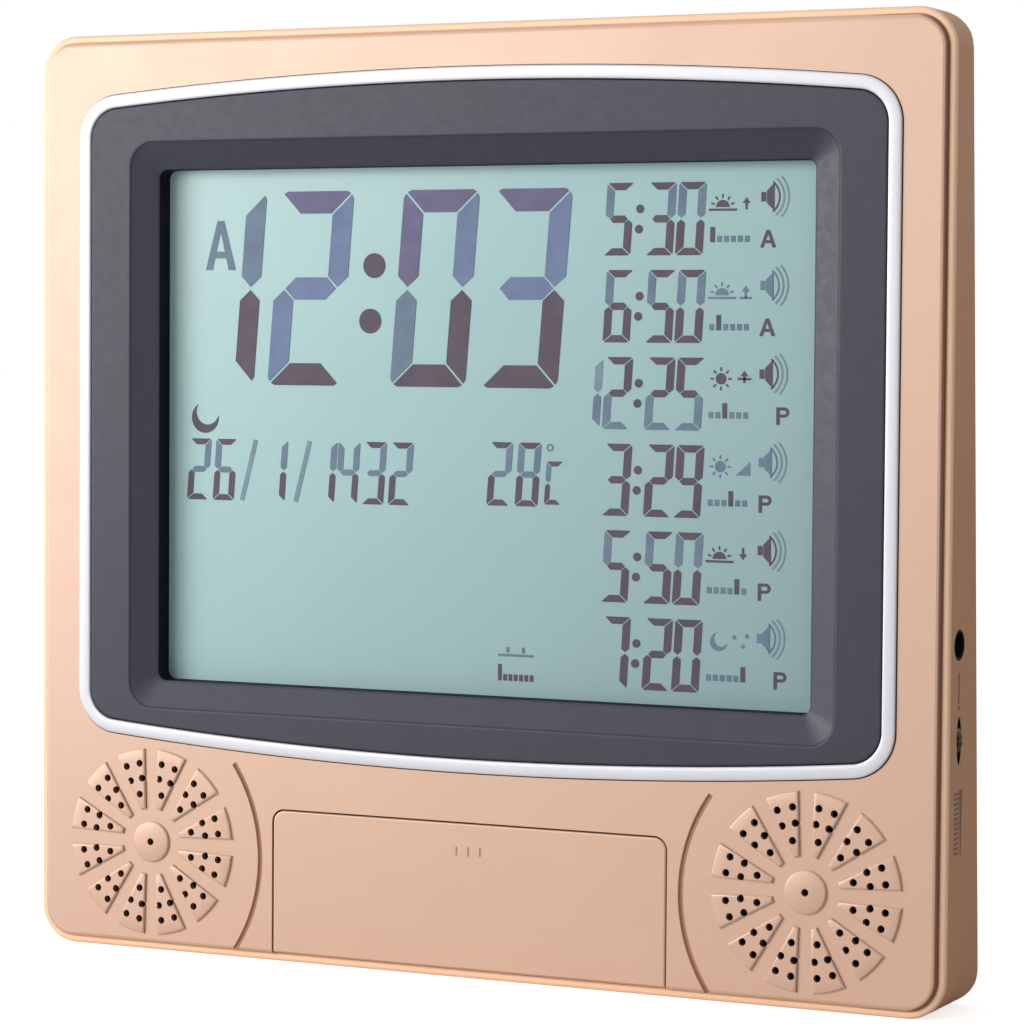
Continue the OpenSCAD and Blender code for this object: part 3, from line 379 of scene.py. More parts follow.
EXTRA = {
    "door": lacquer("door_lacquer", PEACH, 0.42, 0.15, 0.35, specular=0.7),
    # near-black: the jack's collar, the wheel slot's lining, and the painted shade on the display
    # recess's wall
    "black": matt("recess_black", lin(20, 19, 22), 0.6, 0.2, 0.1),
    # painted shadow along the outer edge of the silver trim
    "gap": matt("painted_shadow_brown", lin(66, 46, 38), 0.7, 0.2, 0.1),
    # painted shade in the arc trenches beside the grilles
    "trench": matt("trench_brown", lin(168, 122, 94), 0.6, 0.06, 0.3),
    "seam": seam_material(),
    # painted shade on the walls of the drilled grille holes
    "hole": matt("hole_wall", lin(38, 22, 18), 0.7, 0.2, 0.1),
    "gauze": gauze_material(),
    "print": plain("side_print", lin(128, 102, 82), 0.6, 0.06, 1400, 0.00001),
    "legend": plain("key_legend", lin(74, 78, 88), 0.6, 0.08, 1400, 0.00001),
}
OWN_MATERIAL = {"key_door": EXTRA["door"]}
for sub in frame["record"]["subparts"]:
    data = NODES[sub["node"]].data
    data.materials.clear()
    data.materials.append(OWN_MATERIAL.get(sub["node"], MATERIALS[sub["material_slot"]]))


# --------------------------------------------------------------- mesh helpers

def piece(name, verts, faces, materials, body="case", slot=None, face_materials=None, smooth=0):
    """A new mesh piece, in mm in the row frame, that rides on a body."""
    me = bpy.data.meshes.new(name)
    me.from_pydata([tuple(c * MM for c in v) for v in verts], [], faces)
    for m in materials:
        me.materials.append(m)
    if face_materials:
        me.polygons.foreach_set("material_index", face_materials)
    bm = bmesh.new()
    bm.from_mesh(me)
    bmesh.ops.recalc_face_normals(bm, faces=bm.faces)
    bm.to_mesh(me)
    bm.free()
    if smooth:
        me.polygons.foreach_set("use_smooth", [True] * len(me.polygons))
        me.set_sharp_from_angle(angle=math.radians(smooth))
    me.update()
    ob = bpy.data.objects.new(name, me)
    bpy.context.scene.collection.objects.link(ob)
    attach(ob, body)
    return ob


def loft(loops, closed=False):
    """Vertices and faces of a skin over loops with equal numbers of points."""
    n, k = len(loops[0]), len(loops)
    verts = [p for loop in loops for p in loop]
    faces = []
    for s in range(k if closed else k - 1):
        t = (s + 1) % k
        faces += [(s * n + i, s * n + (i + 1) % n, t * n + (i + 1) % n, t * n + i)
                  for i in range(n)]
    return verts, faces


TRIANGULATE = (1, 1e-5)  # keep what lies inside the loops; distance at which points merge


def plate_faces(verts, *loops):
    """Flat faces between an outer loop and its holes, all given as ranges of vertex numbers."""
    index, rings = [], []
    for loop in loops:
        ring = list(range(len(index), len(index) + len(loop)))
        index += loop
        p = [verts[i] for i in loop]
        turn = sum(a[0] * b[2] - b[0] * a[2] for a, b in zip(p, p[1:] + p[:1]))
        rings.append(ring if turn > 0 else ring[::-1])
    flat = [Vector((verts[i][0], verts[i][2])) for i in index]
    _, _, tris, sources, _, regions = delaunay_2d_cdt(flat, [], rings, *TRIANGULATE)
    return [tuple(index[sources[i][0]] for i in t)
            for t, inside in zip(tris, regions) if list(inside) == [0]]


def inset(poly, d):
    """A convex outline, counter-clockwise, moved inwards by d."""
    n, lines, out = len(poly), [], []
    for i in range(n):
        (x0, y0), (x1, y1) = poly[i], poly[(i + 1) % n]
        long = math.hypot(x1 - x0, y1 - y0)
        lines.append((x0 - (y1 - y0) / long * d, y0 + (x1 - x0) / long * d, x1 - x0, y1 - y0))
    for i in range(n):
        (ax, ay, adx, ady), (bx, by, bdx, bdy) = lines[i - 1], lines[i]
        det = adx * bdy - ady * bdx
        t = ((bx - ax) * bdy - (by - ay) * bdx) / det if abs(det) > 1e-9 else 1.0
        out.append((ax + adx * t, ay + ady * t))
    return out


class Sheet:
    """Collects flat outlines as thin prisms: place() maps (u, v, height) to the row frame."""

    def __init__(self, place):
        self.place, self.v, self.f, self.m = place, [], [], []

    def add(self, outline, height, ink=0, base=0.0):
        n = len(outline)
        turn = sum(a[0] * b[1] - b[0] * a[1] for a, b in zip(outline, outline[1:] + outline[:1]))
        pts = outline if turn > 0 else outline[::-1]
        k = len(self.v)
        self.v += [self.place(u, v, h) for h in (height, base) for u, v in pts]
        self.f.append(tuple(range(k, k + n)))
        self.f.append(tuple(range(k + 2 * n - 1, k + n - 1, -1)))
        self.f += [(k + (i + 1) % n, k + i, k + n + i, k + n + (i + 1) % n) for i in range(n)]
        self.m += [ink] * (n + 2)

    def box(self, u0, v0, u1, v1, height, ink=0, base=0.0):
        self.add([(u0, v0), (u1, v0), (u1, v1), (u0, v1)], height, ink, base)

    def strip(self, outer, inner, height, ink=0, base=0.0, closed=False):
        """Quads between two lines of points, or between two rings."""
        n = len(outer)
        for i in range(n if closed else n - 1):
            j = (i + 1) % n
            self.add([outer[i], outer[j], inner[j], inner[i]], height, ink, base)

    def make(self, name, materials, **kw):
        return piece(name, self.v, self.f, materials, face_materials=self.m, **kw)


def on_glass(x, z, h):
    return (x, GLASS - h, z)


def circle(cx, cz, r, n=20, a0=0.0, a1=360.0):
    """A circle of n points, or an arc of n steps, in degrees."""
    steps = n if abs(a1 - a0) >= 360 else n + 1
    angles = [math.radians(a0 + (a1 - a0) * i / n) for i in range(steps)]
    return [(cx + r * math.cos(a), cz + r * math.sin(a)) for a in angles]


def bar_between(a, b, w):
    """Outline of a bar of width w from a to b."""
    dx, dz = b[0] - a[0], b[1] - a[1]
    long = math.hypot(dx, dz)
    nx, nz = -dz / long * w / 2, dx / long * w / 2
    return [(a[0] + nx, a[1] + nz), (a[0] - nx, a[1] - nz),
            (b[0] - nx, b[1] - nz), (b[0] + nx, b[1] + nz)]


# ------------------------------------------------------------ display artwork

# heights of the printed layers over the glass; a later layer lies over an earlier one
INK_1, INK_2, INK_3, INK_BIG = 0.08, 0.09, 0.1, 0.12
SEGMENTS = {"0": "abcdef", "1": "bc", "2": "abged", "3": "abgcd", "4": "fgbc", "5": "afgcd",
            "6": "afgecd", "7": "abc", "8": "abcdefg", "9": "abcdfg", "c": "afed"}


MIRRORED = {"d": ("a", 1, -1), "c": ("b", 1, -1), "f": ("b", -1, 1), "e": ("b", -1, -1)}


def segment_outline(which, w, h, tv, th, gap, cut):
    """One segment of a digit centred on the origin: w by h outside, upright bars tv wide and
    level bars th high, with a gap between segments and corners cut by cut."""
    if which in MIRRORED:
        like, sx, sz = MIRRORED[which]
        return [(sx * px, sz * pz) for px, pz in segment_outline(like, w, h, tv, th, gap, cut)]
    x, z = w / 2, h / 2
    g = gap / 2 ** 0.5
    c = cut * 0.35
    if which == "a":
        return [(-x + cut + g, z), (x - cut - g, z), (x - c - g, z - c),
                (x - tv - g, z - th), (-x + tv + g, z - th), (-x + c + g, z - c)]
    if which == "b":
        return [(x, z - cut - g), (x, th * 0.5 + g * 0.6), (x - tv / 2, g),
                (x - tv, th * 0.5 + g * 0.6), (x - tv, z - th - g), (x - c, z - c - g)]
    m = tv / 2 + g
    return [(-x + m, 0), (-x + m + th / 2, th / 2), (x - m - th / 2, th / 2),
            (x - m, 0), (x - m - th / 2, -th / 2), (-x + m + th / 2, -th / 2)]


def draw_digit(sheet, char, cx, cz, w, h, tv, th, gap, slant, height, tones, cut):
    """Lit segments of a digit, leaning by slant degrees; tones maps a segment, or *, to an ink."""
    k = math.tan(math.radians(slant))
    for s in SEGMENTS[char]:
        outline = segment_outline(s, w, h, tv, th, gap, cut)
        leaning = [(cx + px + k * pz, cz + pz) for px, pz in outline]
        sheet.add(leaning, height, tones.get(s, tones["*"]))


DARK, PURPLE, BLUE, SLATE, PALE = range(5)
INK_LIST = [INKS[t] for t in ("dark", "purple", "blue", "slate", "pale")]

# the time
big = Sheet(on_glass)
BIG_Z, BIG_SLANT = 167.3, 4.5
BIG = dict(w=20.6, h=48.0, tv=5.6, th=5.5, gap=0.55, slant=BIG_SLANT, height=INK_BIG, cut=1.6)
for char, cx, tones in (("1", -71.9, {"b": SLATE, "c": DARK, "*": BLUE}),
                        ("2", -47.3, {"a": PURPLE, "d": DARK, "*": BLUE}),
                        ("0", -12.8, {"a": PURPLE, "f": PURPLE, "b": BLUE, "e": SLATE, "*": DARK}),
                        ("3", 11.9, {"a": PURPLE, "b": BLUE, "g": BLUE, "*": DARK})):
    draw_digit(big, char, cx, BIG_Z, tones=tones, **BIG)
for dz in (5.6, -8.0):
    lean = math.tan(math.radians(BIG_SLANT)) * dz
    big.add(circle(-29.9 + lean, BIG_Z + dz, 3.05, 28), INK_BIG, DARK)
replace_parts(big.make("time_segments", INK_LIST, slot="segments"), "lcd_segments")

# six rows of times at the right
rows = Sheet(on_glass)
ROW_TOPS = [192.3 - 20.64 * i for i in range(6)]
ROW_TIMES = ["5:30", "6:50", "12:25", "3:29", "5:50", "7:20"]
ROW_TONES = [(SLATE, DARK), (SLATE, DARK), (DARK, SLATE),
             (DARK, DARK), (SLATE, DARK), (DARK, DARK)]
ROW = dict(w=7.0, tv=2.0, th=1.75, gap=0.28, slant=3.4, height=INK_1, cut=0.45)
for top, text, (upper, lower) in zip(ROW_TOPS, ROW_TIMES, ROW_TONES):
    cz = top - 8.6
    tones = {"a": DARK, "g": DARK, "f": upper, "b": upper, "*": lower}
    digits = text.replace(":", "")
    for char, cx in zip(digits[-3:], (36.2, 47.1, 54.75)):
        draw_digit(rows, char, cx, cz, h=17.2, tones=tones, **ROW)
    if len(digits) == 4:
        draw_digit(rows, "1", 28.5, cz, h=16.4, tones={"b": PALE, "*": SLATE}, **ROW)
    for dz in (2.4, -2.4):
        rows.add(circle(41.55 + 0.06 * dz, cz + dz, 1.05, 16), INK_1, DARK)
rows.make("row_times", INK_LIST, slot="segments")

# date line and temperature
date = Sheet(on_glass)
DATE_Z = 121.9
DATE_TONES = {"a": DARK, "g": SLATE, "f": SLATE, "b": SLATE, "*": DARK}
LEAN = dict(slant=4.0, height=INK_1, tones=DATE_TONES)
SMALL = dict(w=6.1, h=15.4, tv=1.7, th=1.5, gap=0.26, cut=0.4, **LEAN)
UNIT = dict(w=4.4, h=10.4, tv=1.3, th=1.2, gap=0.22, cut=0.35, **LEAN)
for char, cx in (("2", -79.1), ("6", -71.6), ("1", -57.0), ("1", -43.0),
                 ("4", -36.6), ("3", -29.2), ("2", -21.8)):
    draw_digit(date, char, cx, DATE_Z, **SMALL)
for x in (-64.8, -49.4):
    stroke = bar_between((x - 1.9, DATE_Z - 7.6), (x + 2.1, DATE_Z + 7.6), 1.25)
    date.add(stroke, INK_1, PALE)
for char, cx in (("2", 5.2), ("8", 12.8)):
    draw_digit(date, char, cx, DATE_Z + 0.6, **SMALL)
draw_digit(date, "c", 19.6, DATE_Z - 1.3, **UNIT)
degree = [circle(18.6, DATE_Z + 7.2, radius, 18) for radius in (0.95, 0.5)]
date.strip(*degree, INK_1, SLATE, closed=True)
date.make("date_line", INK_LIST, slot="segments")

# half-day flags, alarm marks and small symbols
marks = Sheet(on_glass)


def letter_a(x, z, w, h, t, tone):
    """A half-day flag: two legs and a bar, with strokes t wide."""
    apex, low = x + w / 2, z + h * 0.24
    marks.add([(x, z), (x + t * 1.05, z), (apex + t * 0.35, z + h), (apex - t * 0.5, z + h)],
              INK_1, tone)
    marks.add([(x + w, z), (x + w - t * 1.05, z),
               (apex - t * 0.35, z + h), (apex + t * 0.5, z + h)], INK_2, tone)
    marks.add([(x + w * 0.24, low), (x + w * 0.76, low),
               (x + w * 0.7, low + t * 0.85), (x + w * 0.3, low + t * 0.85)], INK_3, tone)


def letter_p(x, z, w, h, t, tone):
    """The other half-day flag: a stem and a bow."""
    marks.box(x, z, x + t, z + h, INK_1, tone)
    cz, r = z + h * 0.71, h * 0.29
    outer, inner = ([(x + t * 0.9, cz + q)] + circle(x + w - r, cz, q, 10, 90, -90)
                    + [(x + t * 0.9, cz - q)] for q in (r, r - t * 0.85))
    marks.strip(outer, inner, INK_2, tone)


letter_a(-77.4, 171.9, 8.7, 12.3, 1.95, SLATE)


def speaker_mark(x, z, tone):
    """Alarm mark: a small loudspeaker with three sound lines."""
    marks.box(x, z - 1.1, x + 1.2, z + 1.1, INK_1, tone)
    marks.add([(x + 1.4, z - 1.4), (x + 3.3, z - 3.3), (x + 3.3, z + 3.3), (x + 1.4, z + 1.4)],
              INK_1, tone)
    for r0, r1, a in ((4.2, 4.6, 52), (5.3, 5.75, 50), (6.5, 6.9, 44)):
        outer, inner = (circle(x + 0.2, z, r, 10, -a, a) for r in (r1, r0))
        marks.strip(outer, inner, INK_1, tone if r0 < 5 else PALE)


def sun(cx, cz, r, rays, tone, half=False):
    """A disc with rays, or the upper half of one."""
    span = 180 if half else 360
    marks.add(circle(cx, cz, r, 18, 0, span), INK_1, tone)
    for i in range(rays):
        a = math.radians(span * (i + (0.5 if half else 0)) / rays)
        ends = [(cx + math.cos(a) * q, cz + math.sin(a) * q) for q in (r + 0.45, r + 1.35)]
        marks.add(bar_between(*ends, 0.42), INK_1, tone)


def line(x0, x1, z, t, tone):
    marks.box(x0, z - t / 2, x1, z + t / 2, INK_1, tone)


def arrow(cx, cz, up, tone):
    s = 1 if up else -1
    marks.add([(cx - 1.0, cz), (cx + 1.0, cz), (cx, cz + s * 1.35)], INK_1, tone)
    marks.box(cx - 0.28, cz - s * 1.5, cx + 0.28, cz, INK_1, tone)


def crescent(cx, cz, r, tone, turn=0.0):
    """A moon between two arcs that meet at their ends, its opening turned by turn degrees."""
    n, aside = 22, math.radians(45 + turn)
    outer = circle(cx, cz, r, n, 100 + turn, 350 + turn)
    ox, oz = cx + r * 0.42 * math.cos(aside), cz + r * 0.42 * math.sin(aside)
    t0, t1 = (math.degrees(math.atan2(p[1] - oz, p[0] - ox)) for p in (outer[0], outer[-1]))
    while t1 < t0:
        t1 += 360
    inner_r = math.hypot(outer[0][0] - ox, outer[0][1] - oz)
    marks.strip(outer, circle(ox, oz, inner_r, n, t0, t1), INK_1, tone)


def row_icon(i, x0, cz, tone):
    """Where the sun stands at the row's time: on the horizon, above, in the afternoon or down."""
    cx = x0 + 3.4
    if i in (0, 1, 4):
        line(x0 - 0.1, x0 + 7.0, cz - 1.7, 0.55, tone)
        sun(cx, cz - 1.1, 1.7, 5, tone, True)
        arrow(x0 + 9.4, cz + (-0.2 if i < 4 else 0.2), i < 4, tone)
        if i == 1:
            line(x0 + 7.9, x0 + 10.9, cz - 1.7, 0.55, tone)
    elif i == 2:
        sun(cx, cz, 1.35, 8, tone)
        line(x0 + 7.6, x0 + 11.0, cz, 0.55, tone)
        arrow(x0 + 9.3, cz + 0.6, True, tone)
    elif i == 3:
        sun(cx, cz, 1.35, 8, tone)
        marks.add([(x0 + 7.4, cz - 2.0), (x0 + 11.0, cz - 2.0), (x0 + 11.0, cz + 1.3)], INK_1, tone)
    else:
        crescent(cx, cz, 2.2, tone)
        for sx, sz in ((7.4, 1.2), (9.6, -0.9), (10.6, 1.6)):
            x, z = x0 + sx, cz + sz
            marks.add([(x - 0.6, z), (x, z - 0.6), (x + 0.6, z), (x, z + 0.6)], INK_1, tone)


ICON_X = 59.4
for i, top in enumerate(ROW_TOPS):
    tone = SLATE if i % 2 else DARK
    speaker_mark(72.5, top - 3.7, tone)
    row_icon(i, ICON_X, top - 4.9, tone)
    # place of the row in the day: six blocks, one of them tall
    for k in range(6):
        x, here = ICON_X + 0.3 + 1.75 * k, k == i
        marks.box(x, top - 14.2, x + 1.2, top - (10.6 if here else 12.7), INK_1,
                  DARK if here else SLATE)
    if i < 2:
        letter_a(72.3, top - 15.5, 4.0, 4.1, 0.85, DARK)
    else:
        letter_p(72.6 if i in (3, 4) else 76.8, top - 15.5, 3.2, 4.1, 0.85, DARK)

crescent(-77.4, 134.9, 3.9, DARK, 20)
# day of the week: seven blocks, the first of them lit, under a line with two ticks
for k in range(7):
    x = 5.1 + 1.42 * k
    marks.box(x, 72.4, x + 1.0, 74.0 if k else 76.4, INK_1, DARK)
line(5.1, 14.6, 78.6, 0.6, SLATE)
for x in (7.3, 11.5):
    marks.box(x, 79.2, x + 0.8, 80.6, INK_1, SLATE)
marks.make("display_marks", INK_LIST, slot="segments")


# --------------------------------------------------------------- silver trim

# the display frame in the solid: half width, half height, bow of its long sides, corners, middle
FRAME_HW, FRAME_HH, FRAME_BOW, FRAME_R, FRAME_Z = 109.7, 84.98, 5.5, 11.0, 135.32


def frame_outline(inwards, corner=18, long=60):
    """The display frame's outline, counter-clockwise seen from the front, moved inwards."""
    bow_r = (FRAME_HW * FRAME_HW + FRAME_BOW * FRAME_BOW) / (2 * FRAME_BOW)
    bow_z = FRAME_HH - bow_r
    cx = FRAME_HW - FRAME_R
    cz = bow_z + math.sqrt((bow_r - FRAME_R) ** 2 - cx * cx)
    turn = math.atan2(cz - bow_z, cx)
    r, q = FRAME_R - inwards, []
    for i in range(corner + 1):
        a = turn * i / corner
        q.append((cx + r * math.cos(a), cz + r * math.sin(a)))
    for i in range(1, long + 1):
        a = turn + (math.pi / 2 - turn) * i / long
        q.append(((bow_r - inwards) * math.cos(a), bow_z + (bow_r - inwards) * math.sin(a)))
    pts = q + [(-x, z) for x, z in q[-2::-1]]
    pts += [(-x, -z) for x, z in q] + [(x, -z) for x, z in q[-2::-1]]
    return [(x, FRAME_Z + z) for x, z in pts]


def at_depth(loop, y, dx=0.0, dz=0.0):
    """A loop of (x, z) points at a depth behind the face plane."""
    return [(x + dx, FACE + y, z + dz) for x, z in loop]


def trim_band():
    """Silver trim: a low crowned band with soft edges, seated in the face behind it."""
    steps = [(1.25, 0.0), (0.0, 0.0), (0.0, -0.28), (0.06, -0.4), (0.18, -0.5), (0.4, -0.55),
             (0.9, -0.585), (1.6, -0.6), (2.3, -0.585), (2.8, -0.55), (3.02, -0.5), (3.14, -0.4),
             (3.2, -0.28), (3.2, 2.55), (1.25, 2.55)]
    verts, faces = loft([at_depth(frame_outline(i), y) for i, y in steps], closed=True)
    band = piece("trim_band", verts, faces, [MATERIALS["silver_trim"]], slot="silver_trim",
                 smooth=40)
    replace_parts(band, "silver_trim")
    # painted shadow: a thin dark ring on the face where it meets the trim's outer edge, set a
    # little right and down
    shadow_ring_steps = [(-0.24, 0.0), (-0.24, -0.03), (0.1, -0.03), (0.1, 0.0)]
    verts, faces = loft([at_depth(frame_outline(i), y, 0.07, -0.05) for i, y in shadow_ring_steps], closed=True)
    piece("trim_painted_shadow", verts, faces, [EXTRA["gap"]], slot="rubber")


trim_band()

WINDOW_W, WINDOW_H, WINDOW_Z = 176.0, 128.56, 132.72
BEVEL = 6.8


def rounded_corners(hw, hh, r, n):
    """The four corner arcs of a rectangle about the origin, counter-clockwise."""
    return [circle(sx * (hw - r), sz * (hh - r), r, n, a0, a0 + 90)
            for sx, sz, a0 in ((1, 1, 0), (-1, 1, 90), (-1, -1, 180), (1, -1, 270))]


def window_loop(out, r, corner=10, side=6):
    """A rounded rectangle that lies out from the display window by out."""
    arcs = rounded_corners(WINDOW_W / 2 + out, WINDOW_H / 2 + out, r, corner)
    pts = []
    for arc, after in zip(arcs, arcs[1:] + arcs[:1]):
        (ax, az), (bx, bz) = arc[-1], after[0]
        pts += arc + [(ax + (bx - ax) * i / side, az + (bz - az) * i / side)
                      for i in range(1, side)]
    return [(x, WINDOW_Z + z) for x, z in pts]


def bezel_mask():
    """Moulded mask over the bezel: a flat field with a soft lip, a small step, the bevel down to
    the display and a black lining with rounded corners: painted shade on the recess wall."""
    # (distance in from the frame's outline, depth), the first step being the dark joint
    outer = [(3.22, 0.23), (3.22, 0.19), (3.5, 0.19), (3.5, -0.1), (3.56, -0.22), (3.7, -0.28),
             (4.0, -0.28)]
    # (distance out from the window, corner radius, depth); steps 8 to 12 are the black lining,
    # painted shade of the recess wall
    inner = [(BEVEL + 0.8, 7.2, -0.28), (BEVEL + 0.4, 6.8, -0.28), (BEVEL + 0.14, 6.5, -0.25),
             (BEVEL + 0.02, 6.4, -0.15), (BEVEL - 0.16, 6.25, 0.0), (BEVEL - 0.4, 6.0, 0.09),
             (0.5, 1.9, 2.24), (0.12, 1.9, 2.38), (-0.08, 2.1, 2.6), (-0.12, 2.2, 2.9),
             (-0.12, 2.2, 7.45), (-0.04, 2.1, 7.45), (-0.04, 2.0, 2.6), (0.03, 1.6, 2.41),
             (BEVEL - 0.05, 6.3, 0.2)]
    a, fa = loft([at_depth(frame_outline(i), y) for i, y in outer])
    b, fb = loft([at_depth(window_loop(out, r), y) for out, r, y in inner])
    n, m = len(frame_outline(0)), len(window_loop(0, 1))
    verts = a + b
    k = len(a)
    faces = fa + [tuple(i + k for i in f) for f in fb]
    dark = [int(i // n == 1) for i in range(len(fa))]
    # black faces of the recess wall: painted shade
    dark += [int(8 <= i // m <= 12) for i in range(len(fb))]
    front = plate_faces(verts, range(k - n, k), range(k, k + m))
    back = plate_faces(verts, range(n), range(len(verts) - m, len(verts)))
    faces += front + back
    piece("bezel_mask", verts, faces, [MATERIALS["dark_bezel"], EXTRA["black"]], slot="dark_bezel",
          face_materials=dark + [0] * (len(front) + len(back)), smooth=35)


bezel_mask()


# -------------------------------------------------------- cloth behind grilles

GRILLE_X, GRILLE_Z = 88.3, 27.7
ROUND = 48  # points on the rim of a disc


def gauze(name, cx):
    """Black cloth stretched behind the drilled holes."""
    rings = [(0.6, 2.7), (20.9, 2.7), (20.9, 2.56)] + [(r, 2.54) for r in (20, 16, 12, 8, 4, 0.6)]
    verts, faces = loft([at_depth(circle(cx, GRILLE_Z, r, ROUND), y) for r, y in rings])
    faces += [tuple(range(ROUND)), tuple(range(len(verts) - ROUND, len(verts)))]
    piece(name, verts, faces, [EXTRA["gauze"]], slot="paper_cone")


# drilled holes of a field, as radius and angle from the grille's middle, and their size
FIELD_HOLES = ((20, -5.63), (20, 5.63), (16.2, -5.9), (16.2, 5.9), (12.3, 0))
HOLE_R = 0.9
# (distance in from the field's outline, depth) of its soft edge
FIELD_EDGE = ((0, -0.26), (0.1, -0.42), (0.26, -0.54), (0.45, -0.58))
FIELD_FOOT = 0.02


def raised_field(outline, holes):
    """Mesh of a raised field of the grille: soft edge, flat top and drilled holes, which may cut
    the edge."""
    flat, loops = [], []
    edges = [inset(outline, d) for d, _ in FIELD_EDGE]
    for loop in edges + [circle(x, z, HOLE_R, 16) for x, z in holes]:
        loops.append(list(range(len(flat), len(flat) + len(loop))))
        flat += [Vector(p) for p in loop]
    points, _, found, _, _, regions = delaunay_2d_cdt(flat, [], loops, *TRIANGULATE)
    points, n = [tuple(p) for p in points], len(points)
    tris = [tuple(t) for t, inside in zip(found, regions)
            if 0 in inside and max(inside) < len(edges)]

    def height(x, z):
        d = min(((x1 - x0) * (z - z0) - (z1 - z0) * (x - x0)) / math.hypot(x1 - x0, z1 - z0)
                for (x0, z0), (x1, z1) in zip(outline, outline[1:] + outline[:1]))
        for (d0, y0), (d1, y1) in zip(FIELD_EDGE, FIELD_EDGE[1:]):
            if d < d1:
                return y0 + (y1 - y0) * max(0.0, d - d0) / (d1 - d0)
        return FIELD_EDGE[-1][1]

    def on_hole(i, x, z):
        return abs(math.hypot(points[i][0] - x, points[i][1] - z) - HOLE_R) < 0.02

    verts = [(x, height(x, z), z) for x, z in points] + [(x, FIELD_FOOT, z) for x, z in points]
    faces = tris + [tuple(i + n for i in reversed(t)) for t in tris]
    mats = [0] * len(faces)
    used = [e for t in tris for e in zip(t, t[1:] + t[:1])]
    single = set(used)
    for a, b in used:
        if (b, a) not in single:
            faces.append((a, a + n, b + n, b))
            mats.append(int(any(on_hole(a, x, z) and on_hole(b, x, z) for x, z in holes)))
    return verts, faces, mats


def grille_fields(name, cx):
    """Twelve raised fields and the raised disc in the middle."""
    petal = [(8.4, -0.7)] + circle(0, 0, 23.6, 8, -10.2, 10.2) + [(8.4, 0.7)]
    polar = [(r, math.radians(a)) for r, a in FIELD_HOLES]
    field = raised_field(petal, [(r * math.cos(a), r * math.sin(a)) for r, a in polar])
    disc = raised_field(circle(0, 0, 5.2, ROUND), [(0, 0)])
    verts, faces, mats = [], [], []
    for (v, f, m), turn in [(field, 15 + 30 * k) for k in range(12)] + [(disc, 0)]:
        a, k = math.radians(turn), len(verts)
        c, s = math.cos(a), math.sin(a)
        verts += [(cx + x * c - z * s, FACE + y, GRILLE_Z + x * s + z * c) for x, y, z in v]
        faces += [tuple(i + k for i in t) for t in f]
        mats += m
    # the second material, near black, is painted shade on the hole walls
    piece(name, verts, faces, [MATERIALS["face_plastic"], EXTRA["hole"]], slot="face_plastic",
          face_materials=mats, smooth=35)


# the arcs beside the grilles: radius, middle, and the heights where they start, fade and end
ARC_R, ARC_X, ARC_Z = 40.7, GRILLE_X + 9.2, GRILLE_Z - 2.4
ARC_LOW, ARC_FADE, ARC_TOP = 2.3, ARC_Z + 23.6, 55.4


def arc_strip(name, side, section, low, high, material):
    """A strip along the arc beside a grille; section holds (offset from the arc, depth) pairs."""
    a, b = (math.asin((z - ARC_Z) / ARC_R) for z in (low, high))
    steps, loops = 40, []
    for i in range(steps + 1):
        t = a + (b - a) * i / steps
        c, s = math.cos(t), math.sin(t)
        loops.append([(side * (ARC_X - (ARC_R + o) * c), FACE + y, ARC_Z + (ARC_R + o) * s)
                      for o, y in section])
    verts, faces = loft(loops)
    n = len(section)
    faces += [tuple(range(n)), tuple(range(len(verts) - n, len(verts)))]
    piece(name, verts, faces, [material], slot="face_plastic", smooth=35)


def arc_lines():
    """The arcs beside the grilles: rounded trenches, coloured brown as painted shade, that end
    short of the trim, where a filler closes the rest of the solid's groove."""
    trench = [(-0.66, 0.02), (-0.66, -0.015), (-0.5, -0.015), (-0.3, 0.24), (0, 0.34), (0.3, 0.24),
              (0.5, -0.015), (0.66, -0.015), (0.66, 0.02), (0, 0.42)]
    filler = [(-0.52, 0.4), (-0.52, -0.012), (0.52, -0.012), (0.52, 0.4)]
    for side, tag in ((-1, "left"), (1, "right")):
        arc_strip("arc_trench_" + tag, side, trench, ARC_LOW, ARC_FADE, EXTRA["trench"])
        arc_strip("arc_filler_" + tag, side, filler, ARC_FADE, ARC_TOP, MATERIALS["face_plastic"])


def case_loop(inwards, corner=12):
    """Outline of the case front, moved inwards."""
    arcs = rounded_corners(CASE_W / 2 - inwards, CASE_H / 2 - inwards, CASE_R - inwards, corner)
    return [(x, CASE_H / 2 + z) for arc in arcs for x, z in arc]


def seam_fill():
    """Floor of the joint between the face and the ledge round it, in the joint's painted light and
    shade.
    """
    section = [(1.58, 1.56), (1.98, 1.56), (1.98, 1.8), (1.58, 1.8)]
    verts, faces = loft([at_depth(case_loop(i), y) for i, y in section], closed=True)
    piece("seam_fill", verts, faces, [EXTRA["seam"]], slot="face_plastic")


arc_lines()
seam_fill()

for side, tag in ((-1, "left"), (1, "right")):
    gauze("gauze_" + tag, side * GRILLE_X)
    grille_fields("grille_fields_" + tag, side * GRILLE_X)


# -------------------------------------------------- inlet, wheel slot and marks

# places on the right side: depth from the face plane, and height
JACK_Y, JACK_Z = 8.2, 85.9
WHEEL_Y, WHEEL_Z = 8.85, 63.9
SLOT_Y, SLOT_Z = 1.74, 5.74  # half the opening that the solid has for the wheel
LINER_X = 119.5  # inner end of the slot's lining


def side_loop(outline, x):
    """(y, z) points on the right side, y from the face plane, at a given x."""
    return [(x, FACE + y, z) for y, z in outline]


def jack_liner():
    """Black collar in the opening of the power inlet."""
    steps = [(3.58, 119.3), (3.58, 121.98), (3.45, 122.06), (3.2, 122.08), (3.05, 122.0),
             (2.98, 121.8), (2.95, 119.3)]
    loops = [side_loop(circle(JACK_Y, JACK_Z, r, 36), x) for r, x in steps]
    verts, faces = loft(loops, closed=True)
    piece("jack_liner", verts, faces, [EXTRA["black"]], slot="black_plastic", smooth=40)


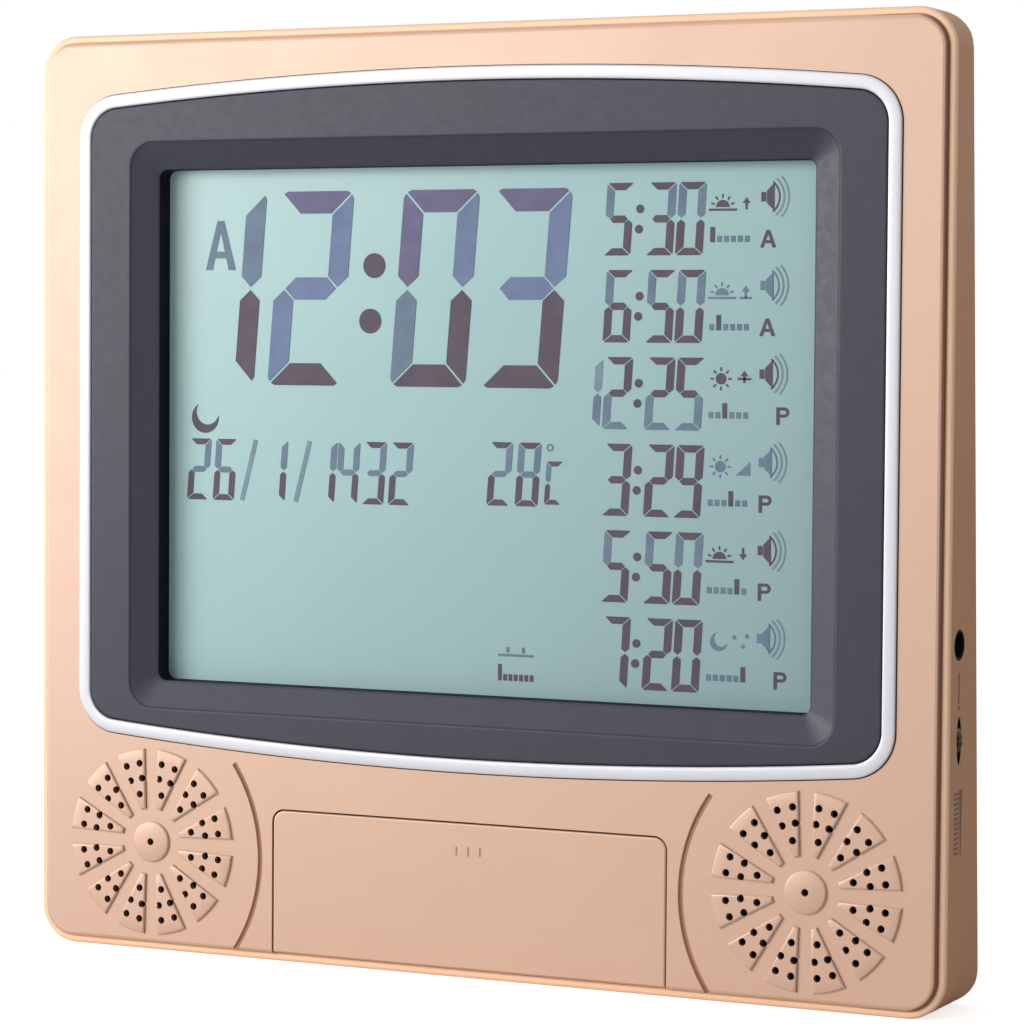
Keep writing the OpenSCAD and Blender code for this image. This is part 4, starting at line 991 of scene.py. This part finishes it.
def lens(half_z, half_y, n):
    """The wheel's slot, which narrows to both ends: n steps up one side and n down the other."""
    pts = []
    for i in range(n + 1):
        t = math.pi * i / n
        pts.append((WHEEL_Y + half_y * math.sin(t), WHEEL_Z - half_z * math.cos(t)))
    return pts + [(2 * WHEEL_Y - y, z) for y, z in pts[-2:0:-1]]


def on_opening(y, z):
    """Where the ray from the slot's middle through a point meets the solid's opening."""
    dy, dz = y - WHEEL_Y, z - WHEEL_Z
    k = min(half / abs(d) for half, d in ((SLOT_Y, dy), (SLOT_Z, dz)) if abs(d) > 1e-9)
    return WHEEL_Y + dy * k, WHEEL_Z + dz * k


def wheel_lip():
    """Lip of the volume wheel's slot: fills the corners of the cut, with a black lining."""
    n = 14
    inner = lens(5.5, 1.62, n)
    outer = [on_opening(y, z) for y, z in inner]
    outer[0], outer[n] = (WHEEL_Y, WHEEL_Z - SLOT_Z), (WHEEL_Y, WHEEL_Z + SLOT_Z)
    brink = [(a + (c - a) * 0.85, b + (d - b) * 0.85) for (a, b), (c, d) in zip(outer, inner)]
    steps = [(outer, LINER_X), (outer, 121.97), (brink, 121.99), (inner, 121.9), (inner, LINER_X)]
    verts, faces = loft([side_loop(loop, x) for loop, x in steps], closed=True)
    dark = [int(i // len(inner) >= 3) for i in range(len(faces))]
    piece("wheel_lip", verts, faces, [MATERIALS["rear_plastic"], EXTRA["black"]],
          slot="rear_plastic", face_materials=dark)


def side_marks():
    """Marks on the right side: line and dot under the inlet, ribs and wedge under the wheel."""
    s = Sheet(lambda y, z, h: (SIDE_X + h, FACE + y, z))
    print_layer = dict(height=0.12, base=-0.1)
    s.box(8.0, 72.5, 8.4, 79.5, **print_layer)
    s.add(circle(8.2, 71.4, 0.5, 16), **print_layer)
    # rising wedge beside ribs: more towards the top
    s.add([(9.7, 52.5), (11.3, 52.5), (10.6, 37.5), (10.4, 37.5)], **print_layer)
    for k in range(13):
        z = 52.0 - 1.14 * k
        s.box(6.0, z, 8.9, z - 0.5, **print_layer)
    s.make("side_marks", [EXTRA["print"]], slot="rear_plastic")


jack_liner()
wheel_lip()
side_marks()


# --------------------------------------------------------------- key legends

KEY_PITCH, KEY_Z, KEY_FRONT = 15.5, 17.0, 3.7


def draw_legend(s, k):
    """The sign on key k, in mm about the key's middle."""
    layer = dict(height=0.06, base=-0.02)
    if k == 0:
        for v in (-1.2, 0, 1.2):
            s.box(-1.7, v - 0.28, 1.7, v + 0.28, **layer)
    elif k in (1, 2):
        d = 1 if k == 1 else -1
        s.add([(-1.6, -1.1 * d), (1.6, -1.1 * d), (0, 1.4 * d)], **layer)
    elif k == 3:
        s.box(-1.9, -0.6, -1.0, 0.6, **layer)
        s.add([(-0.9, -0.7), (0.3, -1.6), (0.3, 1.6), (-0.9, 0.7)], **layer)
        for r in (1.3, 2.1):
            s.strip(*(circle(-0.2, 0, q, 8, -45, 45) for q in (r + 0.16, r - 0.16)), **layer)
    elif k == 4:
        s.add(circle(0, 0, 0.85, 16), **layer)
        for i in range(8):
            c, d = math.cos(math.pi * i / 4), math.sin(math.pi * i / 4)
            s.add(bar_between((1.2 * c, 1.2 * d), (1.8 * c, 1.8 * d), 0.34), **layer)
    else:
        s.add([(-1.6, -0.9), (1.6, -0.9), (1.1, -0.3), (0.9, 0.9), (0.35, 1.4), (-0.35, 1.4),
               (-0.9, 0.9), (-1.1, -0.3)], **layer)
        s.add(circle(0, -1.35, 0.36, 12), **layer)


def key_legends():
    """A generic sign on each key: set, up, down, sound, light and alarm."""
    for k in range(6):
        x0 = (k - 2.5) * KEY_PITCH
        s = Sheet(lambda u, v, h, x0=x0: (x0 + u, FACE + KEY_FRONT - h, KEY_Z + v))
        draw_legend(s, k)
        s.make("key_legend_%d" % (k + 1), [EXTRA["legend"]], body="key_%d" % (k + 1),
               slot="black_plastic")


key_legends()


# ------------------------------------------------------------- case screws

# middles of the screws: top corners, bottom corners and side ears
SCREW_PLACES = [(side * x, z) for x, z in ((113.8, CASE_H - 8.2), (113.8, 8.2), (115.6, 121.05))
                for side in (-1, 1)]
BACK_WALL, POST_GAP, HEAD_SEAT = 2.2, 3.4, 1.4
HEAD_H = 1.95


def cross_outline(cx, cz, long, wide):
    """A cross recess: half the length of its arms, and half their width."""
    a, b = long, wide
    pts = [(a, -b), (a, b), (b, b), (b, a), (-b, a), (-b, b),
           (-a, b), (-a, -b), (-b, -b), (-b, -a), (b, -a), (b, -b)]
    return [(cx + x, cz + z) for x, z in pts]


def case_screw_set():
    """Cross-head screws in the counterbores of the back."""
    verts, faces, n = [], [], 32
    for cx, cz in SCREW_PLACES:
        seat = BASE_DEPTH - cz * math.tan(TILT) - BACK_WALL - POST_GAP + HEAD_SEAT
        head = [(2.8, 0.0), (2.8, 1.0), (2.6, 1.5), (2.1, 1.85), (1.75, HEAD_H)]
        rings = [(1.5, 3.3), (1.5, seat)] + [(r, seat + y) for r, y in head]
        k = len(verts)
        a, fa = loft([at_depth(circle(cx, cz, r, n), y) for r, y in rings])
        verts += a
        faces += [tuple(i + k for i in f) for f in fa]
        faces.append(tuple(range(k, k + n)))
        rim = range(k + len(a) - n, k + len(a))
        k = len(verts)
        mouth, floor = cross_outline(cx, cz, 1.35, 0.36), cross_outline(cx, cz, 1.0, 0.3)
        b, fb = loft([at_depth(mouth, seat + HEAD_H), at_depth(floor, seat + 1.1)])
        m = len(mouth)
        verts += b
        faces += [tuple(i + k for i in f) for f in fb]
        faces.append(tuple(range(k + m, k + 2 * m)))
        faces += plate_faces(verts, rim, range(k, k + m))
    ob = piece("case_screw_set", verts, faces, [MATERIALS["screw_steel"]], slot="screw_steel",
               smooth=35)
    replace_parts(ob, "case_screws")


case_screw_set()


# ------------------------------------------------------------------- lights

def area(name, location, target, size, power, diffuse=1.0, specular=1.0):
    """A square lamp that looks at its target."""
    data = bpy.data.lights.new(name, "AREA")
    data.shape = "RECTANGLE"
    data.size, data.size_y = size, size
    data.energy = power
    data.diffuse_factor, data.specular_factor = diffuse, specular
    ob = bpy.data.objects.new(name, data)
    ob.location = location
    ob.rotation_mode = "QUATERNION"
    ob.rotation_quaternion = (Vector(target) - Vector(location)).to_track_quat("-Z", "Y")
    bpy.context.scene.collection.objects.link(ob)


area("key", (-0.95, -1.6, 0.5), (0, 0, 0.13), 0.9, 11, specular=0.1)
area("sheen", (-1.6, -1.15, 0.36), (0, 0, 0.13), 0.8, 20, diffuse=0.15)
area("top", (0.0, 0.2, 1.5), (0, 0, 0.1), 0.8, 1.5, specular=0.3)


def math_node(tree, op, a, b):
    """A Math node's value; b is an output or a number."""
    n = tree.nodes.new("ShaderNodeMath")
    n.operation = op
    tree.links.new(a, n.inputs[0])
    if isinstance(b, float):
        n.inputs[1].default_value = b
    else:
        tree.links.new(b, n.inputs[1])
    return n.outputs[0]


def studio_world():
    """Weak white light on the object, full white to the camera, in metal and in glass."""
    world = bpy.data.worlds.new("studio")
    bpy.context.scene.world = world
    world.use_nodes = True
    t = world.node_tree
    path = t.nodes.new("ShaderNodeLightPath").outputs
    seen = math_node(t, "MAXIMUM", path["Is Camera Ray"], path["Is Glossy Ray"])
    seen = math_node(t, "MAXIMUM", seen, path["Is Transmission Ray"])
    level = t.nodes.new("ShaderNodeMapRange")
    level.inputs["To Min"].default_value = 0.3
    level.inputs["To Max"].default_value = 1.0
    t.links.new(seen, level.inputs["Value"])
    background = t.nodes["Background"]
    background.inputs["Color"].default_value = (1, 1, 1, 1)
    t.links.new(level.outputs["Result"], background.inputs["Strength"])


def floor():
    """Pale floor that keeps the object's shadow and goes white before the camera."""
    me = bpy.data.meshes.new("floor")
    r = 12
    me.from_pydata([(-r, -r, 0), (r, -r, 0), (r, r, 0), (-r, r, 0)], [], [(0, 1, 2, 3)])
    ob = bpy.data.objects.new("floor", me)
    bpy.context.scene.collection.objects.link(ob)
    m = bpy.data.materials.new("floor")
    m.use_nodes = True
    t = m.node_tree
    t.nodes.remove(t.nodes["Principled BSDF"])
    diffuse = t.nodes.new("ShaderNodeBsdfDiffuse")
    diffuse.inputs["Color"].default_value = (0.86, 0.86, 0.86, 1)
    glow = t.nodes.new("ShaderNodeEmission")
    glow.inputs["Color"].default_value = (1, 1, 1, 1)
    path = t.nodes.new("ShaderNodeLightPath").outputs
    strength = math_node(t, "MULTIPLY", path["Is Camera Ray"], 0.75)
    t.links.new(strength, glow.inputs["Strength"])
    add = t.nodes.new("ShaderNodeAddShader")
    t.links.new(diffuse.outputs[0], add.inputs[0])
    t.links.new(glow.outputs[0], add.inputs[1])
    t.links.new(add.outputs[0], t.nodes["Material Output"].inputs["Surface"])
    me.materials.append(m)


studio_world()
floor()
bpy.context.scene.view_settings.view_transform = "Standard"


# ------------------------------------------------------------------- camera

def camera():
    """The photo's camera, solved from the grille patterns and the straight edges."""
    yaw, pitch, roll = 0.4498, -0.0467, -0.0072
    turn = Matrix.Rotation(yaw, 3, "Z") @ Matrix.Rotation(pitch, 3, "X")
    turn = turn @ Matrix.Rotation(roll, 3, "Y")
    right, ahead, up = turn.col
    data = bpy.data.cameras.new("camera")
    data.sensor_width = 36
    data.lens = 125.917
    data.clip_start, data.clip_end = 0.05, 50
    ob = bpy.data.objects.new("camera", data)
    m = Matrix.Identity(4)
    for i in range(3):
        m[i][0], m[i][1], m[i][2] = right[i], up[i], -ahead[i]
    m.translation = Vector((0.3846006, -0.784078, 0.1537754))
    ob.matrix_world = m
    bpy.context.scene.collection.objects.link(ob)
    bpy.context.scene.camera = ob


camera()
